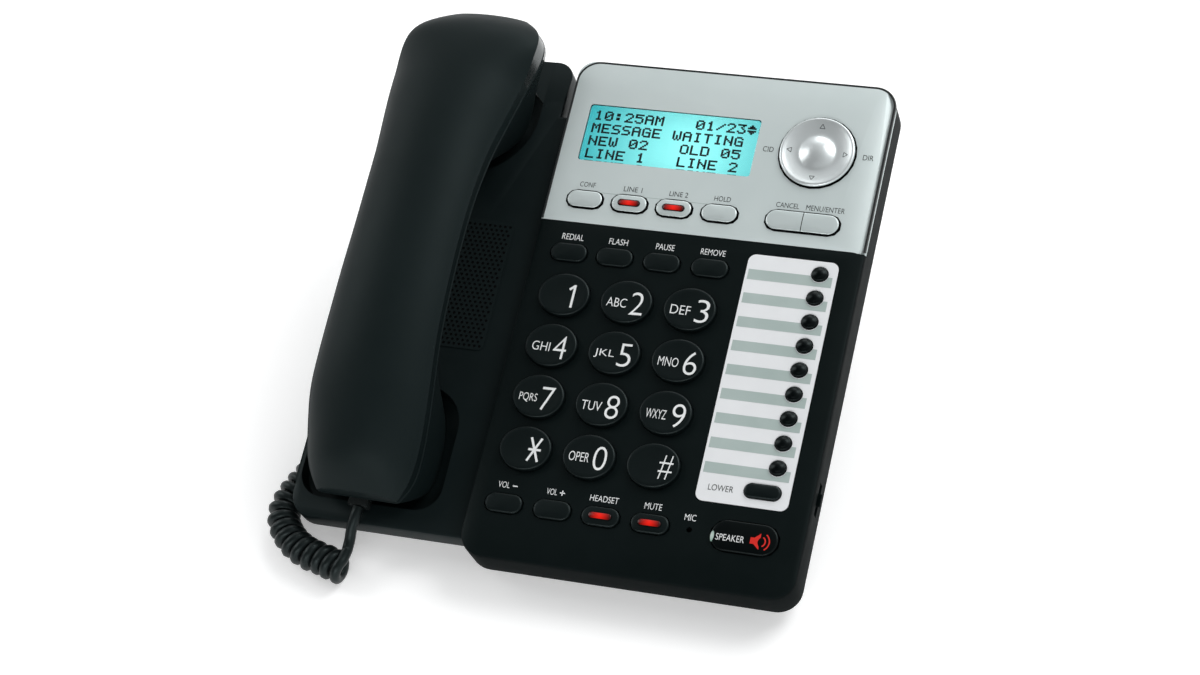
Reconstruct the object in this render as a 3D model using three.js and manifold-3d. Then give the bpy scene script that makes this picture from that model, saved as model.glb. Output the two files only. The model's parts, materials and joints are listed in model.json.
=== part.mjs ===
// A two-line corded desk telephone: sloping console, handset in its cradle at the left, curly cord.
// Lengths are millimetres. Each console piece is built in the face frame: origin at the console's
// front left corner on its face, +X to the right, +Y up the slope and +Z out of the face.
import * as THREE from 'three';
import { mergeVertices } from 'three/addons/utils/BufferGeometryUtils.js';
import Module from 'manifold-3d';

const wasm = await Module();
wasm.setup();

// Console and cradle
const consoleWidth = 128.7;
const consoleLength = 208.5;
const wallHeight = 14.5;
const shellWall = 2.5;
const floorWall = 2;
const edgeRound = 1.4;
const frontLeftRadius = 10;
const frontRightRadius = 9;
const rearRightRadius = 10;
const rearLeftRadius = 7;
const incline = THREE.MathUtils.degToRad(18);
const cradleWidth = 72.5;
const cradleDrop = 6;
const cradleFrontLedge = 8;
const cradleRearSetback = -2.5;
const cradleFrontRadius = 10;
const cradleRearRadius = 14;
const rearPostRadius = 8;
const rearRollLength = 26;
const rearRollDrop = 4.5;
const slitWidth = 4.6;
const slitLength = 25;
const notchWidth = 44;
const notchLength = 21;
const notchRadius = 12;
const pocketDepth = 6.5;
const pocketRound = 3;
const pocketRoom = 2.3;
const mouthPocketSetback = 8.5;

// Fits and steps
const clearance = 0.3;
const overrun = 5;
const mergeDistance = 1e-4;
const arcSteps = 5;

// Faceplate, display and card
const faceplateThickness = 2.3;
const faceplateChamfer = 4.6;
const windowWidth = 69.3;
const windowHeight = 24.5;
const windowThickness = 1.6;
const windowRadius = 1.2;
const displayBorder = 3.5;
const cardWidth = 35;
const cardMargin = 4.8;
const cardKeyGap = 6.1;
const cardRadius = 3;
const cardThickness = 0.6;

// Keys
const dialGapAcross = 4.7;
const dialGapAlong = 3.7;
const dialKeyRise = 2.3;
const smallKeyGap = 3;
const smallKeyHeight = 7.5;
const smallKeyRise = 1.3;
const pairKeyWidth = 29.5;
const pairKeyHeight = 8.7;
const speakerKeyWidth = 26;
const speakerKeyHeight = 12;
const lowerKeyWidth = 14.2;
const lowerKeyHeight = 5.6;
const memoryKeyDiameter = 6.2;
const memoryKeyRise = 1.8;
const keyTravel = 1.5;
const flangeWidth = 0.9;
const flangeThickness = 1.3;
const keyRound = 0.8;

// Navigation disc
const discDiameter = 29.6;
const discRise = 1.6;
const discGap = 0.5;
const domeDiameter = 12.8;
const discFlange = 1.4;
const pivotDiameter = 6;

// Inside the console
const boardThickness = 1.6;
const boardDepth = 8;
const matThickness = 1.4;
const bossDiameter = 6;
const speakerDiameter = 50;
const speakerDepth = 12;
const magnetDiameter = 24;
const grilleHoleDiameter = 2.2;

// Switches and sockets
const hookWidth = 10;
const hookLength = 6;
const hookTravel = 4;
const ringerKnobLength = 6;
const ringerKnobHeight = 3;
const ringerKnobReach = 2.4;
const ringerTravel = 3;
const lineSocketWidth = 12;
const lineSocketHeight = 8.6;
const socketDepth = 10;
const powerSocketDiameter = 6.4;
const headsetSocketDiameter = 3.6;

// Lower housing and stand
const baseInset = 2;
const baseFlange = 2;
const baseDepth = 12.5;
const baseTaper = 12;
const tubRearSetback = 22;
const tubWall = 3;
const standWidth = 135;
const standLength = 84;
const standWall = 2.5;
const footWidth = 12;
const footSetback = 4.8;
const frontFootHeight = 1.5;
const rearFootHeight = 2.5;

// Handset
const handsetLength = 201;
const handsetOverhang = 5.5;
const handsetHalfWidth = 26.4;
const handsetHeight = 45.7;
const handsetShoulder = 5.5;
const handsetTurn = THREE.MathUtils.degToRad(-0.65);
const handsetWall = 2.2;
const plugWidth = 7.6;
const plugHeight = 4.6;
const plugLength = 12;
const plugSeat = 2.5;

// Cord
const cordDiameter = 4.2;
const coilDiameter = 13;

// Layout on the face, as shares of the console's width and length
const dialColumnShares = [0.136, 0.3302, 0.5245];
const dialRowShares = [0.5132, 0.412, 0.3108, 0.2096];
const upperKeyXShares = [0.1149, 0.258, 0.404, 0.5517];
const upperKeyYShare = 0.6005;
const lowerRowXShares = [0.1088, 0.2564, 0.4025, 0.5501];
const lowerRowYShare = 0.1041;
const silverKeyXShares = [0.1227, 0.2626, 0.4017, 0.5424];
const silverKeyYShare = 0.7108;
const pairKeyXShare = 0.796;
const pairKeyYShare = 0.7106;
const faceplateShare = 0.33813;
const windowXShare = 0.3368;
const windowYShare = 0.8501;
const discXShare = 0.7949;
const discYShare = 0.8532;
const cardXShare = 0.7964;
const memoryKeyXShare = 0.8803;
const memoryTopCardShare = 0.9468;
const memoryPitchCardShare = 0.0981;
const lowerKeyXShare = 0.8516;
const lowerKeyCardShare = 0.0629;
const speakerKeyXShare = 0.8291;
const speakerKeyYShare = 0.1026;
const microphoneXShare = 0.6659;
const ringerYShare = 0.2014;
const lineSocketXShares = [0.3, 0.5];
const powerSocketXShare = 0.7;
const pocketCentreShare = 0.5793;
const earPocketShare = 0.2711;
const earRadiusShare = 0.5138;
const mouthPocketShare = 0.2488;
const mouthFrontRadiusShare = 0.2;
const mouthRearRadiusShare = 0.32;
const handsetCentreShare = 0.5848;
const handsetJackYShare = 0.8;
const plugLevelShare = 0.225;
const headsetSocketYShare = 0.3;
const standXShare = 0.46;
const grilleYShare = 0.53;
const grilleShares = [-0.36, -0.18, 0, 0.18, 0.36];

// The handset's form along its length, from the mouth end to the ear end. Stations are shares of the
// length, half widths and the lean of its middle line shares of the half width, and levels shares of the
// height above the pocket's floor.
const stationShares = [
  0, 0.015, 0.04, 0.1, 0.18, 0.225, 0.26, 0.32, 0.4, 0.5, 0.6,
  0.68, 0.72, 0.76, 0.79, 0.84, 0.87, 0.92, 0.955, 0.985, 1];
const widthShares = [
  0.62, 0.73, 0.8, 0.87, 0.91, 0.9, 0.895, 0.88, 0.87, 0.855, 0.86,
  0.88, 0.905, 0.94, 0.965, 1, 1.02, 1.035, 1.025, 0.95, 0.73];
const leanShares = [
  0.045, 0.045, 0.045, 0.035, 0.01, -0.005, -0.015, -0.03, -0.045, -0.05, -0.05,
  -0.045, -0.035, -0.02, -0.005, 0.015, 0.025, 0.04, 0.045, 0.05, 0.05];
const topShares = [
  0.44, 0.57, 0.67, 0.78, 0.88, 0.92, 0.945, 0.97, 0.99, 1, 0.995,
  0.985, 0.978, 0.968, 0.958, 0.937, 0.918, 0.87, 0.82, 0.73, 0.61];
const seamShares = [
  0.31, 0.29, 0.31, 0.4, 0.53, 0.57, 0.61, 0.65, 0.68, 0.69, 0.68,
  0.63, 0.61, 0.58, 0.57, 0.54, 0.53, 0.51, 0.49, 0.46, 0.45];
const bottomShares = [
  0.28, 0.15, 0, 0, 0, 0.1, 0.28, 0.46, 0.56, 0.6, 0.58,
  0.47, 0.3, 0.09, 0, 0, 0.2, 0.35, 0.37, 0.38, 0.4];
const bottomWidthShares = [
  0.57, 0.78, 0.87, 0.92, 0.9, 0.79, 0.7, 0.64, 0.61, 0.6, 0.61,
  0.65, 0.69, 0.74, 0.83, 0.91, 0.95, 0.97, 0.97, 0.9, 0.68];

// Levels in the face frame
const landLevel = -cradleDrop;
const pocketFloor = landLevel - pocketDepth;
const rimLevel = -wallHeight;
const faceUnderside = -shellWall;
const faceplateSeat = -faceplateThickness - clearance;
const seatUnderside = faceplateSeat - shellWall;
const boardTop = -boardDepth;
const matTop = boardTop + clearance + matThickness;
const baseTop = rimLevel - clearance;
const baseUnderside = baseTop - baseDepth;
const cradleRear = consoleLength - cradleRearSetback;
const cradleFront = cradleRear + handsetOverhang - handsetLength - cradleFrontLedge;
const faceplateFront = consoleLength * (1 - faceplateShare);
const pocketCentre = -cradleWidth * pocketCentreShare;
const handsetCentre = -cradleWidth * handsetCentreShare;

const colours = {
  black: 0x15191a,
  handset: 0x171c1d,
  silver: 0xc4c8c8,
  key: 0x101314,
  card: 0xe6e6e4,
  display: 0x6ef0f0,
  clear: 0xd8e8e8,
  board: 0x1d5a34,
  rubber: 0x202020,
  steel: 0x8d9092,
  cord: 0x121414,
};

const across = share => share * consoleWidth;
const along = share => share * consoleLength;

// Pockets and keys fit what lies in or beside them.
const pocketWidth = 2 * (handsetHalfWidth + pocketRoom);
const earPocketLength = handsetLength * earPocketShare;
const mouthPocketLength = handsetLength * mouthPocketShare;
const tubRear = cradleRear - tubRearSetback - baseInset - baseFlange - baseTaper;
const dialKeyWidth = across(dialColumnShares[1] - dialColumnShares[0]) - dialGapAcross;
const dialKeyHeight = along(dialRowShares[0] - dialRowShares[1]) - dialGapAlong;
const smallKeyWidth = across(silverKeyXShares[1] - silverKeyXShares[0]) - smallKeyGap;
const cardFront = along(speakerKeyYShare) + speakerKeyHeight / 2 + cardKeyGap;
const cardLength = faceplateFront - cardMargin - cardFront;
const onCard = share => cardFront + share * cardLength;

// Joining and cutting of closed bodies

function toSolid(geometry) {
  const bare = geometry.clone();
  bare.deleteAttribute('normal');
  bare.deleteAttribute('uv');
  const merged = mergeVertices(bare, mergeDistance);
  const vertProperties = Float32Array.from(merged.attributes.position.array);
  const triVerts = Uint32Array.from(merged.index.array);
  return new wasm.Manifold(new wasm.Mesh({ numProp: 3, vertProperties, triVerts }));
}

function toGeometry(body) {
  const mesh = body.getMesh();
  const geometry = new THREE.BufferGeometry();
  geometry.setAttribute('position', new THREE.BufferAttribute(mesh.vertProperties, 3));
  geometry.setIndex(new THREE.BufferAttribute(mesh.triVerts, 1));
  return geometry;
}

function join(first, ...others) {
  const whole = others.reduce((body, other) => body.add(toSolid(other)), toSolid(first));
  return toGeometry(whole);
}

function cut(first, ...tools) {
  const rest = tools.reduce((body, tool) => body.subtract(toSolid(tool)), toSolid(first));
  return toGeometry(rest);
}

function common(first, second) {
  return toGeometry(toSolid(first).intersect(toSolid(second)));
}

// Outlines and bodies

function roundedOutline(left, front, right, rear, radii) {
  const [frontLeft, frontRight, rearRight, rearLeft] = radii;
  const quarter = Math.PI / 2;
  const shape = new THREE.Shape();
  shape.moveTo(left + frontLeft, front);
  shape.lineTo(right - frontRight, front);
  shape.absarc(right - frontRight, front + frontRight, frontRight, -quarter, 0);
  shape.lineTo(right, rear - rearRight);
  shape.absarc(right - rearRight, rear - rearRight, rearRight, 0, quarter);
  shape.lineTo(left + rearLeft, rear);
  shape.absarc(left + rearLeft, rear - rearLeft, rearLeft, quarter, 2 * quarter);
  shape.lineTo(left, front + frontLeft);
  shape.absarc(left + frontLeft, front + frontLeft, frontLeft, 2 * quarter, 3 * quarter);
  return shape;
}

function evenOutline(x, y, width, height, radius) {
  const radii = [radius, radius, radius, radius];
  return roundedOutline(x - width / 2, y - height / 2, x + width / 2, y + height / 2, radii);
}

function prism(shape, bottom, top, curveSegments = arcSteps) {
  const options = { depth: top - bottom, bevelEnabled: false, curveSegments };
  return new THREE.ExtrudeGeometry(shape, options).translate(0, 0, bottom);
}

// A prism whose two rims are rounded inward by radius.
function softPrism(shape, bottom, top, radius) {
  const options = {
    depth: top - bottom - 2 * radius,
    bevelThickness: radius,
    bevelSize: radius,
    bevelOffset: -radius,
    bevelSegments: 2,
    curveSegments: arcSteps,
  };
  return new THREE.ExtrudeGeometry(shape, options).translate(0, 0, bottom + radius);
}

function block(left, front, bottom, right, rear, top) {
  const geometry = new THREE.BoxGeometry(right - left, rear - front, top - bottom);
  return geometry.translate((left + right) / 2, (front + rear) / 2, (bottom + top) / 2);
}

function post(x, y, diameter, bottom, top, sides = 12) {
  const geometry = new THREE.CylinderGeometry(diameter / 2, diameter / 2, top - bottom, sides);
  return geometry.rotateX(Math.PI / 2).translate(x, y, (bottom + top) / 2);
}

// A closed body through rings of equal count, each counter-clockwise as seen from the last one.
function loft(rings) {
  const count = rings[0].length;
  const points = rings.flat();
  const centres = [rings[0], rings[rings.length - 1]].map(ring => {
    const sum = ring.reduce((total, point) => total.add(point), new THREE.Vector3());
    return sum.divideScalar(count);
  });
  const first = points.length;
  const indices = [];
  for (let level = 0; level < rings.length - 1; level += 1) {
    for (let step = 0; step < count; step += 1) {
      const a = level * count + step;
      const b = level * count + (step + 1) % count;
      indices.push(a, b, b + count, a, b + count, a + count);
    }
  }
  const top = (rings.length - 1) * count;
  for (let step = 0; step < count; step += 1) {
    const next = (step + 1) % count;
    indices.push(first, next, step, first + 1, top + step, top + next);
  }
  const geometry = new THREE.BufferGeometry().setFromPoints([...points, ...centres]);
  geometry.setIndex(indices);
  return geometry;
}

// Level rings for the keys: an ellipse, or a bar with round ends.
function ellipseRing(x, y, width, height, level, steps) {
  return Array.from({ length: steps }, (unused, step) => {
    const angle = 2 * Math.PI * step / steps;
    return new THREE.Vector3(x + width / 2 * Math.cos(angle), y + height / 2 * Math.sin(angle), level);
  });
}

function barRing(x, y, width, height, level, steps) {
  const half = steps / 2;
  const reach = (width - height) / 2;
  return Array.from({ length: steps }, (unused, step) => {
    const side = step < half ? 1 : -1;
    const angle = Math.PI * ((step % half) / (half - 1) - 0.5) + (side < 0 ? Math.PI : 0);
    const px = x + side * reach + height / 2 * Math.cos(angle);
    return new THREE.Vector3(px, y + height / 2 * Math.sin(angle), level);
  });
}

// A key cap with a retaining flange under the plate that it comes through.
function keyBody(ring, x, y, width, height, rise, flangeTop, steps) {
  const flange = 2 * flangeWidth;
  const soft = 2 * keyRound;
  return loft([
    ring(x, y, width + flange, height + flange, flangeTop - flangeThickness, steps),
    ring(x, y, width + flange, height + flange, flangeTop, steps),
    ring(x, y, width, height, flangeTop, steps),
    ring(x, y, width, height, rise - keyRound, steps),
    ring(x, y, width - soft, height - soft, rise, steps),
  ]);
}

function keyHole(ring, x, y, width, height, bottom, steps, room = clearance) {
  return loft([
    ring(x, y, width + 2 * room, height + 2 * room, bottom, steps),
    ring(x, y, width + 2 * room, height + 2 * room, overrun, steps),
  ]);
}

// Every key of the face: name, ring, place, size, rise, how many steps round, and what it sits under
const dialSteps = 16;
const barSteps = 12;
const memorySteps = 10;

function barKey(name, x, y, width, height, plate) {
  return { name, ring: barRing, x, y, width, height, rise: smallKeyRise, steps: barSteps, plate };
}

function keyRow(names, xShares, yShare, plate) {
  return names.map((name, index) =>
    barKey(name, across(xShares[index]), along(yShare), smallKeyWidth, smallKeyHeight, plate));
}

function dialKeys() {
  const names = ['1', '2', '3', '4', '5', '6', '7', '8', '9', 'star', '0', 'pound'];
  return names.map((name, index) => ({
    name: `key_${name}`,
    ring: ellipseRing,
    x: across(dialColumnShares[index % dialColumnShares.length]),
    y: along(dialRowShares[Math.floor(index / dialColumnShares.length)]),
    width: dialKeyWidth,
    height: dialKeyHeight,
    rise: dialKeyRise,
    steps: dialSteps,
    plate: 'housing',
  }));
}

function barKeys() {
  const upper = keyRow(['key_redial', 'key_flash', 'key_pause', 'key_remove'],
    upperKeyXShares, upperKeyYShare, 'housing');
  const lower = keyRow(['key_volume_down', 'key_volume_up', 'key_headset', 'key_mute'],
    lowerRowXShares, lowerRowYShare, 'housing');
  const silver = keyRow(['key_conference', 'key_line_1', 'key_line_2', 'key_hold'],
    silverKeyXShares, silverKeyYShare, 'faceplate');
  const speaker = barKey('key_speaker', across(speakerKeyXShare), along(speakerKeyYShare),
    speakerKeyWidth, speakerKeyHeight, 'housing');
  const shift = barKey('key_lower', across(lowerKeyXShare), onCard(lowerKeyCardShare),
    lowerKeyWidth, lowerKeyHeight, 'card');
  return [...upper, ...lower, ...silver, speaker, shift];
}

const memoryCount = 9;

function memoryKeys() {
  return Array.from({ length: memoryCount }, (unused, index) => ({
    name: `memory_key_${index + 1}`,
    ring: ellipseRing,
    x: across(memoryKeyXShare),
    y: onCard(memoryTopCardShare - index * memoryPitchCardShare),
    width: memoryKeyDiameter,
    height: memoryKeyDiameter,
    rise: memoryKeyRise,
    steps: memorySteps,
    plate: 'card',
  }));
}

const keys = [...dialKeys(), ...barKeys(), ...memoryKeys()];
const pairKey = { x: across(pairKeyXShare), y: along(pairKeyYShare) };
const disc = { x: across(discXShare), y: along(discYShare) };

function flangeTopOf(key) {
  const underside = key.plate === 'faceplate' ? -faceplateThickness : faceUnderside;
  return underside - clearance;
}

function keySolid(key) {
  return keyBody(key.ring, key.x, key.y, key.width, key.height, key.rise, flangeTopOf(key), key.steps);
}

// The cancel and menu keys are the two halves of one bar.
function pairKeySolid(side) {
  const flangeTop = -faceplateThickness - clearance;
  const { x, y } = pairKey;
  const whole = keyBody(barRing, x, y, pairKeyWidth, pairKeyHeight, smallKeyRise, flangeTop, barSteps);
  const near = x + side * clearance / 2;
  const far = x + side * pairKeyWidth;
  const half = block(Math.min(near, far), y - pairKeyWidth, -wallHeight, Math.max(near, far),
    y + pairKeyWidth, overrun);
  return common(whole, half);
}

// The part of the console and cradle that shows: outline, raised console and lower cradle land

const consoleRadii = [frontLeftRadius, frontRightRadius, rearRightRadius, rearLeftRadius];

function consoleOutline(inset) {
  const radii = consoleRadii.map(radius => Math.max(radius - inset, edgeRound));
  return roundedOutline(inset, inset, consoleWidth - inset, consoleLength - inset, radii);
}

// The cradle's outline runs on under the console by reach, so that the two join. Near the rear a slit
// parts the cradle from the console.
function cradleOutline(inset, reach) {
  const quarter = Math.PI / 2;
  const left = inset - cradleWidth;
  const front = cradleFront + inset;
  const rear = cradleRear - inset;
  const slitFront = cradleRear - slitLength - inset;
  const postSide = -slitWidth - inset;
  const frontRadius = Math.max(cradleFrontRadius - inset, edgeRound);
  const postRadius = Math.max(rearPostRadius - inset, edgeRound);
  const rearRadius = Math.max(cradleRearRadius - inset, edgeRound);
  const shape = new THREE.Shape();
  shape.moveTo(left + frontRadius, front);
  shape.lineTo(reach, front);
  shape.lineTo(reach, slitFront);
  shape.lineTo(postSide, slitFront);
  shape.lineTo(postSide, rear - postRadius);
  shape.absarc(postSide - postRadius, rear - postRadius, postRadius, 0, quarter);
  shape.lineTo(left + rearRadius, rear);
  shape.absarc(left + rearRadius, rear - rearRadius, rearRadius, quarter, 2 * quarter);
  shape.lineTo(left, front + frontRadius);
  shape.absarc(left + frontRadius, front + frontRadius, frontRadius, 2 * quarter, 3 * quarter);
  return shape;
}

// The land from the side: level, then rolled down towards its rear edge.
const rollBendShare = 0.6;

function landProfile(lower) {
  const level = landLevel - lower;
  const front = cradleFront - overrun;
  const rollStart = cradleRear - rearRollLength;
  const shape = new THREE.Shape();
  shape.moveTo(front, rimLevel - overrun);
  shape.lineTo(cradleRear + overrun, rimLevel - overrun);
  shape.lineTo(cradleRear + overrun, level - rearRollDrop);
  shape.quadraticCurveTo(rollStart + rearRollLength * rollBendShare, level, rollStart, level);
  shape.lineTo(front, level);
  return shape;
}

function landBody(lower, left, right) {
  const options = { depth: right - left, bevelEnabled: false, curveSegments: arcSteps };
  const profile = new THREE.ExtrudeGeometry(landProfile(lower), options);
  const turn = new THREE.Matrix4().makeBasis(
    new THREE.Vector3(0, 1, 0), new THREE.Vector3(0, 0, 1), new THREE.Vector3(1, 0, 0));
  return profile.applyMatrix4(turn).translate(left, 0, 0);
}

// Ear pocket, open at the rear, and mouth pocket; both are the cups' width.
function pocketOutlines(grow) {
  const half = pocketWidth / 2 + grow;
  const ear = Math.min(earPocketLength * earRadiusShare, pocketWidth / 2 - clearance) + grow;
  const front = mouthPocketLength * mouthFrontRadiusShare + grow;
  const rear = mouthPocketLength * mouthRearRadiusShare + grow;
  const open = 2 * pocketRound;
  const mouthFront = cradleFront + mouthPocketSetback - grow;
  const mouthRear = mouthFront + mouthPocketLength + 2 * grow;
  const earFront = cradleRear - earPocketLength - grow;
  const left = pocketCentre - half;
  const right = pocketCentre + half;
  return [
    roundedOutline(left, earFront, right, cradleRear + open + overrun, [ear, ear, open, open]),
    roundedOutline(left, mouthFront, right, mouthRear, [front, front, rear, rear]),
  ];
}

// The ear pocket's floor ends in a deep notch under the handset's overhang.
function notchBody() {
  const left = pocketCentre - notchWidth / 2;
  const rear = cradleRear + notchRadius + overrun;
  const outline = roundedOutline(left, cradleRear - notchLength, left + notchWidth, rear,
    [notchRadius, notchRadius, notchRadius, notchRadius]);
  return prism(outline, baseUnderside, landLevel);
}

function pocketCutters() {
  return pocketOutlines(0).map(outline => softPrism(outline, pocketFloor, overrun, pocketRound));
}

function pocketTubs() {
  const tubs = pocketOutlines(shellWall).map(outline => prism(outline, rimLevel, landLevel));
  const plan = prism(cradleOutline(0, -clearance), rimLevel, overrun);
  const allowed = common(landBody(0, -cradleWidth, 0), plan);
  return tubs.map(tub => common(tub, allowed));
}

function outerBody() {
  const desk = softPrism(consoleOutline(0), rimLevel - edgeRound, 0, edgeRound);
  const reach = 2 * shellWall;
  const plan = softPrism(cradleOutline(0, reach), rimLevel - edgeRound, landLevel, edgeRound);
  const cradle = common(landBody(0, -cradleWidth - overrun, reach + overrun), plan);
  const below = block(-cradleWidth - overrun, -overrun, rimLevel - overrun, consoleWidth + overrun,
    consoleLength + overrun, rimLevel);
  return cut(join(desk, cradle), below);
}

function innerBodies() {
  const open = rimLevel - overrun;
  const consoleRoom = prism(consoleOutline(shellWall), open, faceUnderside);
  const seatPanel = block(-overrun, faceplateFront - shellWall, seatUnderside, consoleWidth + overrun,
    consoleLength + overrun, overrun);
  const cradlePlan = prism(cradleOutline(shellWall, 2 * shellWall), open, overrun);
  const cradleRoom = common(landBody(shellWall, -cradleWidth, 3 * shellWall), cradlePlan);
  return [cut(consoleRoom, seatPanel), cradleRoom];
}

function bossPlaces() {
  const room = shellWall + bossDiameter;
  const left = frontLeftRadius / 2 + room / 2;
  const right = consoleWidth - room;
  return [
    [left, room],
    [right, room],
    [left, consoleLength - room],
    [right, consoleLength - room],
  ];
}

const grilleCentre = { x: pocketCentre, y: along(grilleYShare) };

function grilleHoles() {
  const holes = [];
  for (const xShare of grilleShares) {
    for (const yShare of grilleShares) {
      const x = grilleCentre.x + xShare * speakerDiameter;
      const y = grilleCentre.y + yShare * speakerDiameter;
      holes.push(post(x, y, grilleHoleDiameter, rimLevel, overrun, 6));
    }
  }
  return holes;
}

function cardOutline(grow) {
  const middle = cardFront + cardLength / 2;
  return evenOutline(across(cardXShare), middle, cardWidth + 2 * grow, cardLength + 2 * grow,
    cardRadius + grow);
}

function displayOutline(grow) {
  return evenOutline(across(windowXShare), along(windowYShare), windowWidth + 2 * grow,
    windowHeight + 2 * grow, windowRadius);
}

const hook = { x: pocketCentre, y: tubRear };

function sideHole(left, right, y, z, diameter) {
  const geometry = new THREE.CylinderGeometry(diameter / 2, diameter / 2, right - left, 12);
  return geometry.rotateZ(Math.PI / 2).translate((left + right) / 2, y, z);
}

const ringer = { y: along(ringerYShare), z: rimLevel / 2 };

function topHousing() {
  let body = cut(outerBody(), ...innerBodies());
  body = join(body, ...pocketTubs());
  for (const [x, y] of bossPlaces()) {
    body = join(body, post(x, y, bossDiameter, boardTop + clearance, faceUnderside / 2, 10));
  }
  const slot = ringerTravel + ringerKnobLength / 2 + clearance;
  const slotHeight = ringerKnobHeight / 2 + clearance;
  const flangeRoom = flangeWidth + 2 * clearance;
  const tools = [
    ...pocketCutters(),
    notchBody(),
    block(-overrun, faceplateFront, faceplateSeat, consoleWidth + overrun, consoleLength + overrun,
      overrun),
    prism(cardOutline(clearance), -cardThickness - clearance, overrun),
    ...keys.filter(key => key.plate !== 'faceplate').map(key =>
      keyHole(key.ring, key.x, key.y, key.width, key.height, rimLevel, key.steps)),
    ...keys.filter(key => key.plate === 'faceplate').map(key =>
      keyHole(key.ring, key.x, key.y, key.width, key.height, rimLevel, key.steps, flangeRoom)),
    keyHole(barRing, pairKey.x, pairKey.y, pairKeyWidth, pairKeyHeight, rimLevel, barSteps, flangeRoom),
    post(disc.x, disc.y, discDiameter + 2 * (discFlange + discGap), rimLevel, overrun, 24),
    prism(displayOutline(displayBorder + clearance), rimLevel, overrun),
    block(consoleWidth - 2 * shellWall, ringer.y - slot, ringer.z - slotHeight, consoleWidth + overrun,
      ringer.y + slot, ringer.z + slotHeight),
    prism(evenOutline(hook.x, hook.y, hookWidth + 2 * clearance, hookLength + 2 * clearance, edgeRound),
      rimLevel - overrun, overrun, 2),
    sideHole(-cradleWidth - overrun, shellWall * 2 - cradleWidth, along(headsetSocketYShare),
      (landLevel + rimLevel) / 2, headsetSocketDiameter),
    post(across(microphoneXShare), along(lowerRowYShare), grilleHoleDiameter, rimLevel, overrun, 8),
    ...grilleHoles(),
  ];
  return cut(body, ...tools);
}

function faceplate() {
  const plan = consoleOutline(0);
  const whole = softPrism(plan, -faceplateThickness - edgeRound, 0, edgeRound / 2);
  const front = faceplateFront + clearance;
  const kept = block(-overrun, front, -faceplateThickness, consoleWidth + overrun,
    consoleLength + overrun, overrun);
  const slope = new THREE.Shape();
  slope.moveTo(consoleWidth - faceplateChamfer, 0);
  slope.lineTo(consoleWidth + faceplateChamfer, -2 * faceplateThickness);
  slope.lineTo(consoleWidth + faceplateChamfer, overrun);
  slope.lineTo(consoleWidth - faceplateChamfer, overrun);
  const chamfer = new THREE.ExtrudeGeometry(slope, { depth: 2 * consoleLength, bevelEnabled: false });
  chamfer.rotateX(Math.PI / 2).translate(0, 2 * consoleLength, 0);
  const tools = [
    chamfer,
    ...keys.filter(key => key.plate === 'faceplate').map(key =>
      keyHole(key.ring, key.x, key.y, key.width, key.height, rimLevel, key.steps)),
    keyHole(barRing, pairKey.x, pairKey.y, pairKeyWidth, pairKeyHeight, rimLevel, barSteps),
    post(disc.x, disc.y, discDiameter + 2 * discGap, rimLevel, overrun, 24),
    prism(displayOutline(0), rimLevel, overrun),
  ];
  return cut(common(whole, kept), ...tools);
}

function displayWindow() {
  return prism(displayOutline(-clearance), -clearance - windowThickness, -clearance);
}

function displayModule() {
  return prism(displayOutline(displayBorder), boardTop + clearance, -faceplateThickness - clearance);
}

function indexCard() {
  const tools = keys.filter(key => key.plate === 'card').map(key =>
    keyHole(key.ring, key.x, key.y, key.width, key.height, rimLevel, key.steps));
  return cut(prism(cardOutline(0), -cardThickness, 0), ...tools);
}

function navigationDisc() {
  const radius = discDiameter / 2;
  const dome = domeDiameter / 2;
  const under = seatUnderside + clearance * 2;
  const profile = [
    [0, under],
    [radius + discFlange, under],
    [radius + discFlange, under + flangeThickness / 2],
    [radius, under + flangeThickness / 2],
    [radius, discRise - keyRound],
    [radius - keyRound, discRise],
    [(radius + dome) / 2, discRise - keyRound],
    [dome, discRise - keyRound / 2],
    [dome / 2, discRise + keyRound / 2],
    [0, discRise + keyRound],
  ].map(([r, z]) => new THREE.Vector2(r, z));
  const geometry = new THREE.LatheGeometry(profile, 24);
  return geometry.rotateX(Math.PI / 2).translate(disc.x, disc.y, 0);
}

function navigationPivot() {
  return post(disc.x, disc.y, pivotDiameter, boardTop + clearance, seatUnderside + clearance, 10);
}

function keypadMat() {
  const rear = along(pairKeyYShare) + pairKeyHeight / 2 + flangeWidth;
  const side = shellWall + bossDiameter / 2;
  const front = shellWall + 2 * bossDiameter - flangeWidth;
  const outline = roundedOutline(side, front, consoleWidth - side, rear,
    [edgeRound, edgeRound, edgeRound, edgeRound]);
  return prism(outline, boardTop + clearance, matTop, 2);
}

function circuitBoard() {
  const side = 2 * shellWall;
  const radius = frontLeftRadius - shellWall;
  const outline = roundedOutline(side, side, consoleWidth - side, consoleLength - side,
    [radius, radius, radius, radius]);
  return prism(outline, boardTop - boardThickness, boardTop, 3);
}

function loudspeaker() {
  const top = landLevel - shellWall - clearance;
  const frame = post(grilleCentre.x, grilleCentre.y, speakerDiameter, top - speakerDepth / 4, top, 20);
  const magnet = post(grilleCentre.x, grilleCentre.y, magnetDiameter, top - speakerDepth, top, 14);
  return join(frame, magnet);
}

// A plunger in the ear pocket's floor, drawn pressed down by the handset.
function hookSwitch() {
  const flange = 2 * flangeWidth;
  const flangeTop = rimLevel - clearance - hookTravel;
  const stem = evenOutline(hook.x, hook.y, hookWidth, hookLength, edgeRound);
  const foot = evenOutline(hook.x, hook.y, hookWidth + flange, hookLength + flange, edgeRound);
  return join(prism(stem, flangeTop - flangeThickness, pocketFloor, 2),
    prism(foot, flangeTop - flangeThickness, flangeTop, 2));
}

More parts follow.
